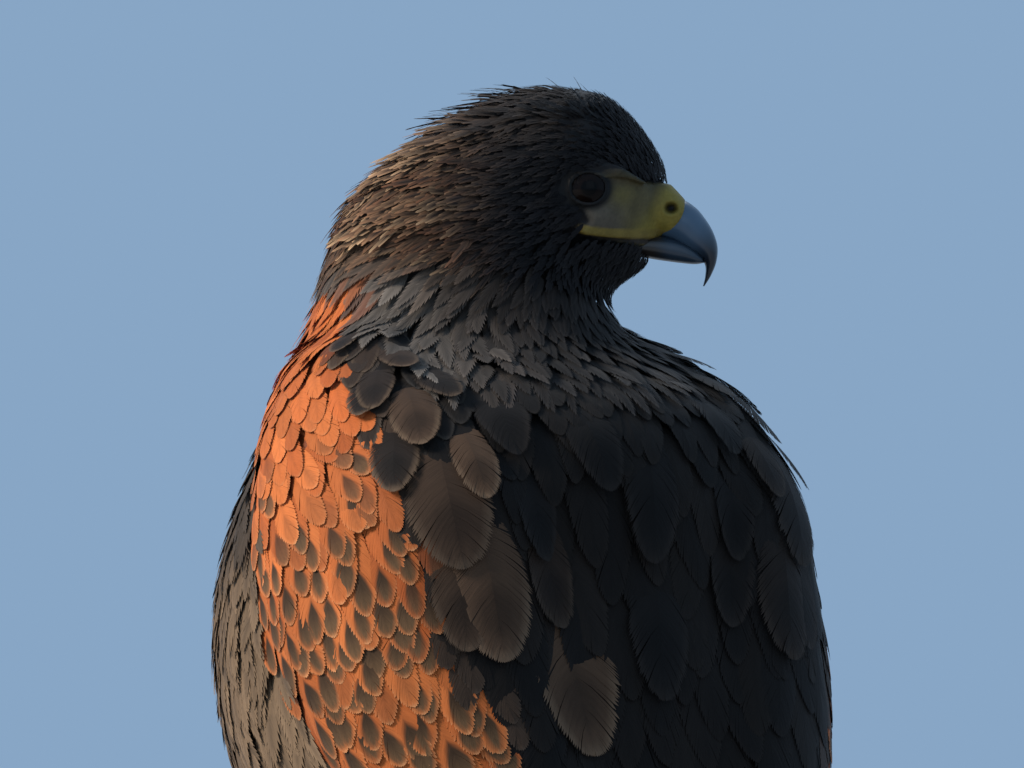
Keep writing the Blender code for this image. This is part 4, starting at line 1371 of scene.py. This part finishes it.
def flight_feathers():
    """The long feathers of a folded wing. The innermost lies on top, and the outer ones reach furthest."""
    order = np.arange(REMEX_COUNT) / (REMEX_COUNT - 1)
    share = mix(0.92, 0.10, order)
    top = mix(0.252, 0.228, order)
    tip = np.interp(order, (0, 0.3, 0.55, 0.8, 1.0), (0.168, 0.140, 0.112, 0.091, 0.120))
    widths = mix(0.0125, 0.0085, order)
    vane = Vane(56, widest=0.86, base=0.7, fray=0.03, slant=0.10, split=0.8)
    for side, sign in SIDES:
        for face, lifts in (("upper", mix(0.0012, 0.0, order)), ("under", np.full(REMEX_COUNT, -0.0004))):
            knots = follow_wing(share, top, tip, widths, sign, lifts, face == "under")
            pale = 1.5 if face == "under" else 0.95
            dark = mix(DARK_BROWN, BLACK_BROWN, order[:, None]) * pale
            fringe = rgb(84, 72, 62)
            plain = plain_colours(REMEX_COUNT, dark, fringe, variety=0.05, fringe_width=0.10, amount=0.6)

            def barred(t, s, v):
                bars = 0.5 + 0.5 * np.cos(t * 2 * math.pi * 9)
                return plain(t, s, v) * (1 - 0.16 * bars[..., None])

            spots = np.stack([0.03 + 0.94 * order, np.full(REMEX_COUNT, 0.5)], -1)
            name = f"flight_feathers_{face}_{side}"
            growth = {"gaps": 0.004, "clumps": 9, "ruffle": 0.1}
            coat(name, "wing_feather", vane, knots, barred, spots, patch=(0.05, 0.9), **growth)


def follow_wing(share, top, tip, widths, sign, lifts, under):
    """Knots of feathers that keep to one share of the wing, on its outer side or its under side."""
    count = len(share)
    knots = np.empty((count, 5, 3, 3))
    for k, along in enumerate(KNOTS):
        z = mix(top, tip, along)
        middle = wing_point(share, z, sign)
        before = wing_point(np.clip(share - 0.03, 0, 1), z, sign)
        aside = unit(wing_point(np.clip(share + 0.03, 0, 1), z, sign) - before)
        out = unit(np.cross(aside, wing_flow(share, z, sign)))
        out = out * np.where(out[:, :1] * sign + out[:, 1:2] < 0, -1, 1)
        ends = wing_point(np.full(count, 0.9), z, sign) - wing_point(np.full(count, 0.1), z, sign)
        wide = np.minimum(widths, 0.42 * np.linalg.norm(ends, axis=1))
        if under:
            level = lifts - wing_row(z)[-1]
        else:
            level = lifts * RISE[k] - REMEX_ROOT_DEPTH * (1 - RISE[k])
        for j, s in enumerate((-1, 0, 1)):
            over = level - 0.05 * abs(s) * wide
            knots[:, k, j] = middle + out * over[:, None] + aside * (s * wide)[:, None]
    return knots


# Scapulars: where the tip of each is in the photo, its half width and length there, and how brown it is.
# Those up to LAST_MIRRORED, on the lit shoulder, have a match on the right one, made darker as painted
# shade.
LAST_MIRRORED = 560
SCAPULARS = (
    (347, 342, 14, 56, 0.2), (374, 393, 21, 78, 0.2), (400, 360, 20, 66, 0.4), (366, 404, 20, 66, 0.1),
    (414, 428, 27, 92, 0.6), (397, 480, 27, 88, 0.1), (483, 487, 24, 92, 1.0), (457, 560, 46, 140, 0.5),
    (440, 384, 22, 76, 0.1), (505, 430, 28, 104, 0.0), (505, 660, 43, 150, 0.7), (558, 628, 28, 120, 0.2),
    (591, 756, 48, 175, 0.9), (545, 560, 24, 110, 0.0), (470, 650, 30, 120, 0.5), (660, 700, 38, 165, 0.0),
    (650, 560, 34, 150, 0.0), (600, 470, 30, 125, 0.0),
)


def scapulars():
    """The large feathers between the back and the wings, on top of both."""
    tips, half, length, brown = [], [], [], []
    for x, y, wide, long, warm in SCAPULARS:
        u, z = from_photo(x, y)
        start = FACING * u + UP * z + TO_CAMERA * 0.5
        hit = form_tree.ray_cast(start, -TO_CAMERA)[0]
        for mirror in (1.0, -1.0) if x <= LAST_MIRRORED else (1.0,):
            tips.append((hit.x * mirror, hit.y, hit.z))
            half.append(wide * PIXEL)
            length.append(long * PIXEL)
            # Painted shade: the right shoulder's copy less brown and darker.
            brown.append(warm if mirror > 0 else 0.15 * warm)
    tips, half, length, brown = np.array(tips), np.array(half), np.array(length), np.array(brown)
    lean = np.stack([-0.10 * np.sign(tips[:, 0]), np.full(len(tips), 0.12), np.full(len(tips), -1.0)], -1)
    roots = []
    for tip, way, long in zip(tips, lean, length):
        at = Vector(tip)
        for _ in range(4):
            at = form_tree.find_nearest(at - Vector(way).normalized() * long / 4)[0]
        roots.append(at)
    roots = np.array(roots)
    lifts = 0.0008 + 0.0006 * step(0.24, 0.36, tips[:, 2])
    knots = lay(roots, lean, length, half, lifts=lifts, camber=0.04, sink=-0.0012)
    dark = mix(BLACK_BROWN * 0.75, WARM_BROWN * 1.1, brown[:, None])
    # Painted light: paler fringes on the sunlit side.
    painted_light_side = step(-0.005, -0.030, tips @ np.array(FACING))[:, None]
    fringe = mix(rgb(42, 36, 32), rgb(124, 100, 78), np.maximum(brown[:, None], 0.8 * painted_light_side))
    plain = plain_colours(len(roots), dark, fringe, variety=0.06, fringe_width=0.32, amount=0.75)

    def colour(t, s, v):
        centre = 1 - step(0.30, 0.80, np.hypot(s, (t - 0.66) / 0.30))
        return plain(t, s, v) * (1 - 0.42 * centre[..., None])

    spots = round_unwrap(roots, (0.0, 0.0), 0.20, 0.42)
    vane = Vane(60, widest=0.56, point=0.2, base=0.6, fray=0.10, slant=0.26, levels=4)
    growth = {"gaps": 0.014, "clumps": 4, "ruffle": 0.35}
    coat("scapular_coat", "wing_feather", vane, knots, colour, spots, patch=(0.02, 0.02), **growth)


# The tail

TAIL_ALONG = np.array([0.0, math.cos(TAIL_SLOPE), -math.sin(TAIL_SLOPE)])
TAIL_OVER = np.array([0.0, math.sin(TAIL_SLOPE), math.cos(TAIL_SLOPE)])
RECTRIX_HALF_WIDTH = 0.0165
RECTRIX_PAIRS = 6
TAIL_COVERT_LENGTH = 0.036
TAIL_COVERT_HALF_WIDTH = 0.0062


def tail_place(across, along, over):
    """A place across the tail, along it from its root and over its middle plane."""
    return np.array(TAIL_ROOT) + TAIL_ALONG * along + TAIL_OVER * over + np.array([across, 0, 0])


def tail_feathers():
    """Black feathers with a white base and tip. The middle ones are on top, and the outer ones shorter."""
    knots = []
    for sign in (1.0, -1.0):
        for k in range(RECTRIX_PAIRS):
            length = TAIL_LENGTH - 0.006 - 0.0012 * k
            feather = np.empty((5, 3, 3))
            for n, share in enumerate(KNOTS):
                middle = sign * mix(0.0012 + 0.0024 * k, 0.0022 + 0.0044 * k, share)
                wide = RECTRIX_HALF_WIDTH * (0.55 + 0.45 * min(1.0, share / 0.4))
                for j, s in enumerate((-1, 0, 1)):
                    x = middle + s * wide
                    level = 0.0022 - 0.0008 * k - 0.0004 * (sign < 0) - 5.0 * x * x
                    feather[n, j] = tail_place(x, 0.004 + share * length, level)
            knots.append(feather)
    knots = np.array(knots)
    shade = np.exp(random.normal(0, 0.05, len(knots)))[:, None, None]

    def colour(t, s, v):
        black = np.broadcast_to(TAIL_BLACK, t.shape + (3,))
        made = mix(black, rgb(58, 49, 44), 0.4 * step(0.85, 1.0, v)[..., None])
        made = mix(made, WHITE, step(0.893, 0.901, t)[..., None])
        return mix(made, WHITE, step(0.20, 0.185, t)[..., None]) * shade

    spots = np.stack([(np.arange(len(knots)) + 0.5) / len(knots), np.full(len(knots), 0.5)], -1)
    vane = Vane(130, widest=0.93, base=0.8, fray=0.02, slant=0.05, split=0.88)
    growth = {"stands_for": ("tail",), "gaps": 0.002, "clumps": 14, "ruffle": 0.05}
    coat("tail_feathers", "tail_feather", vane, knots, colour, spots, patch=(0.075, 0.94), **growth)


def tail_coverts():
    """White feathers over and under the base of the tail."""
    knots = []
    for face in (1.0, -1.0):
        for row in range(7):
            for column in range(7):
                x = (column - 3 + 0.5 * (row % 2)) * TAIL_COVERT_HALF_WIDTH
                start = -0.012 + 0.0085 * row
                feather = np.empty((5, 3, 3))
                for n, share in enumerate(KNOTS):
                    reach = start + share * TAIL_COVERT_LENGTH
                    lift = 0.0042 + 0.0040 * max(0.0, 1 - reach / 0.06) - 0.0016 * (1 - share)
                    for j, s in enumerate((-1, 0, 1)):
                        across = x + s * TAIL_COVERT_HALF_WIDTH
                        level = face * lift - 6.0 * across * across - face * 0.0012 * abs(s)
                        feather[n, j] = tail_place(across, reach, level)
                knots.append(feather)
    knots = np.array(knots) + random.normal(0, 0.0006, (len(knots), 1, 1, 3))
    colour = plain_colours(len(knots), WHITE * 0.92, WHITE, variety=0.05, fringe_width=0.3)
    spots = 0.1 + 0.8 * random.rand(2, len(knots)).T
    vane = Vane(14, widest=0.6, fray=0.15)
    coat("tail_coverts", "tail_feather", vane, knots, colour, spots, gaps=0.04)


# Studio

CAMERA_DISTANCE = 8.0
SENSOR = 36.0
PICTURE_WIDTH = 1024 * PIXEL
FLOOR_RADIUS = 3.0
FLOOR_GREY = (0.38, 0.38, 0.38, 1.0)
SKY_BLUE = (0.44, 0.68, 1.0, 1.0)
SKY_STRENGTH = 0.56
LAMPS = (
    # name, degrees round from the camera and above the level, distance, size, power, tint
    ("key", -74, 32, 3.4, 0.9, 134.0, (1.0, 0.94, 0.86)),
    ("fill", 20, 20, 2.4, 1.6, 2.0, (0.90, 0.95, 1.0)),
    ("rim", 170, 45, 2.2, 1.0, 4.0, (1.0, 0.97, 0.92)),
)


def camera(centre):
    """Level with the bird's neck and far off, with the photo's framing."""
    made = bpy.data.objects.new("camera", bpy.data.cameras.new("camera"))
    made.data.sensor_width = SENSOR
    made.data.lens = SENSOR * CAMERA_DISTANCE / PICTURE_WIDTH
    made.data.clip_end = 100.0
    made.location = centre + TO_CAMERA * CAMERA_DISTANCE
    made.rotation_euler = (-TO_CAMERA).to_track_quat("-Z", "Y").to_euler()
    bpy.context.scene.collection.objects.link(made)
    bpy.context.scene.camera = made


def floor():
    """A plain pale round floor."""
    bm = bmesh.new()
    bmesh.ops.create_circle(bm, cap_ends=True, segments=96, radius=FLOOR_RADIUS)
    mesh = bpy.data.meshes.new("floor")
    bm.to_mesh(mesh)
    bm.free()
    made = bpy.data.objects.new("floor", mesh)
    bpy.context.scene.collection.objects.link(made)
    material, _, _ = principled("pale_floor", 0.8, Base_Color=FLOOR_GREY)
    mesh.materials.append(material)


def sky():
    """Even blue light all round."""
    world = bpy.data.worlds.new("studio")
    world.use_nodes = True
    back = world.node_tree.nodes["Background"]
    back.inputs["Color"].default_value = SKY_BLUE
    back.inputs["Strength"].default_value = SKY_STRENGTH
    bpy.context.scene.world = world
    bpy.context.scene.view_settings.view_transform = "Standard"


def lamps(aim):
    """Soft lamps turned to the aim: a low warm sun from the left, and two weak ones."""
    for name, angle, rise, distance, size, power, tint in LAMPS:
        lamp = bpy.data.lights.new(name, "AREA")
        lamp.size = size
        lamp.energy = power
        lamp.color = tint
        holder = bpy.data.objects.new(name, lamp)
        turn = math.radians(angle)
        level = TO_CAMERA * math.cos(turn) + FACING * math.sin(turn)
        way = (level * math.cos(math.radians(rise)) + UP * math.sin(math.radians(rise))).normalized()
        holder.location = aim + way * distance
        holder.rotation_euler = way.to_track_quat("Z", "Y").to_euler()
        bpy.context.scene.collection.objects.link(holder)


skin()
eyes()
bill()
legs()
claws()
head_coat()
neck_coat()
mantle_coat()
breast_coat()
thigh_coat()
wing_coat()
flight_feathers()
scapulars()
tail_feathers()
tail_coverts()

picture_centre = UP * MIDDLE_Z + ORIGIN
camera(picture_centre)
floor()
sky()
lamps(picture_centre - UP * 0.06)
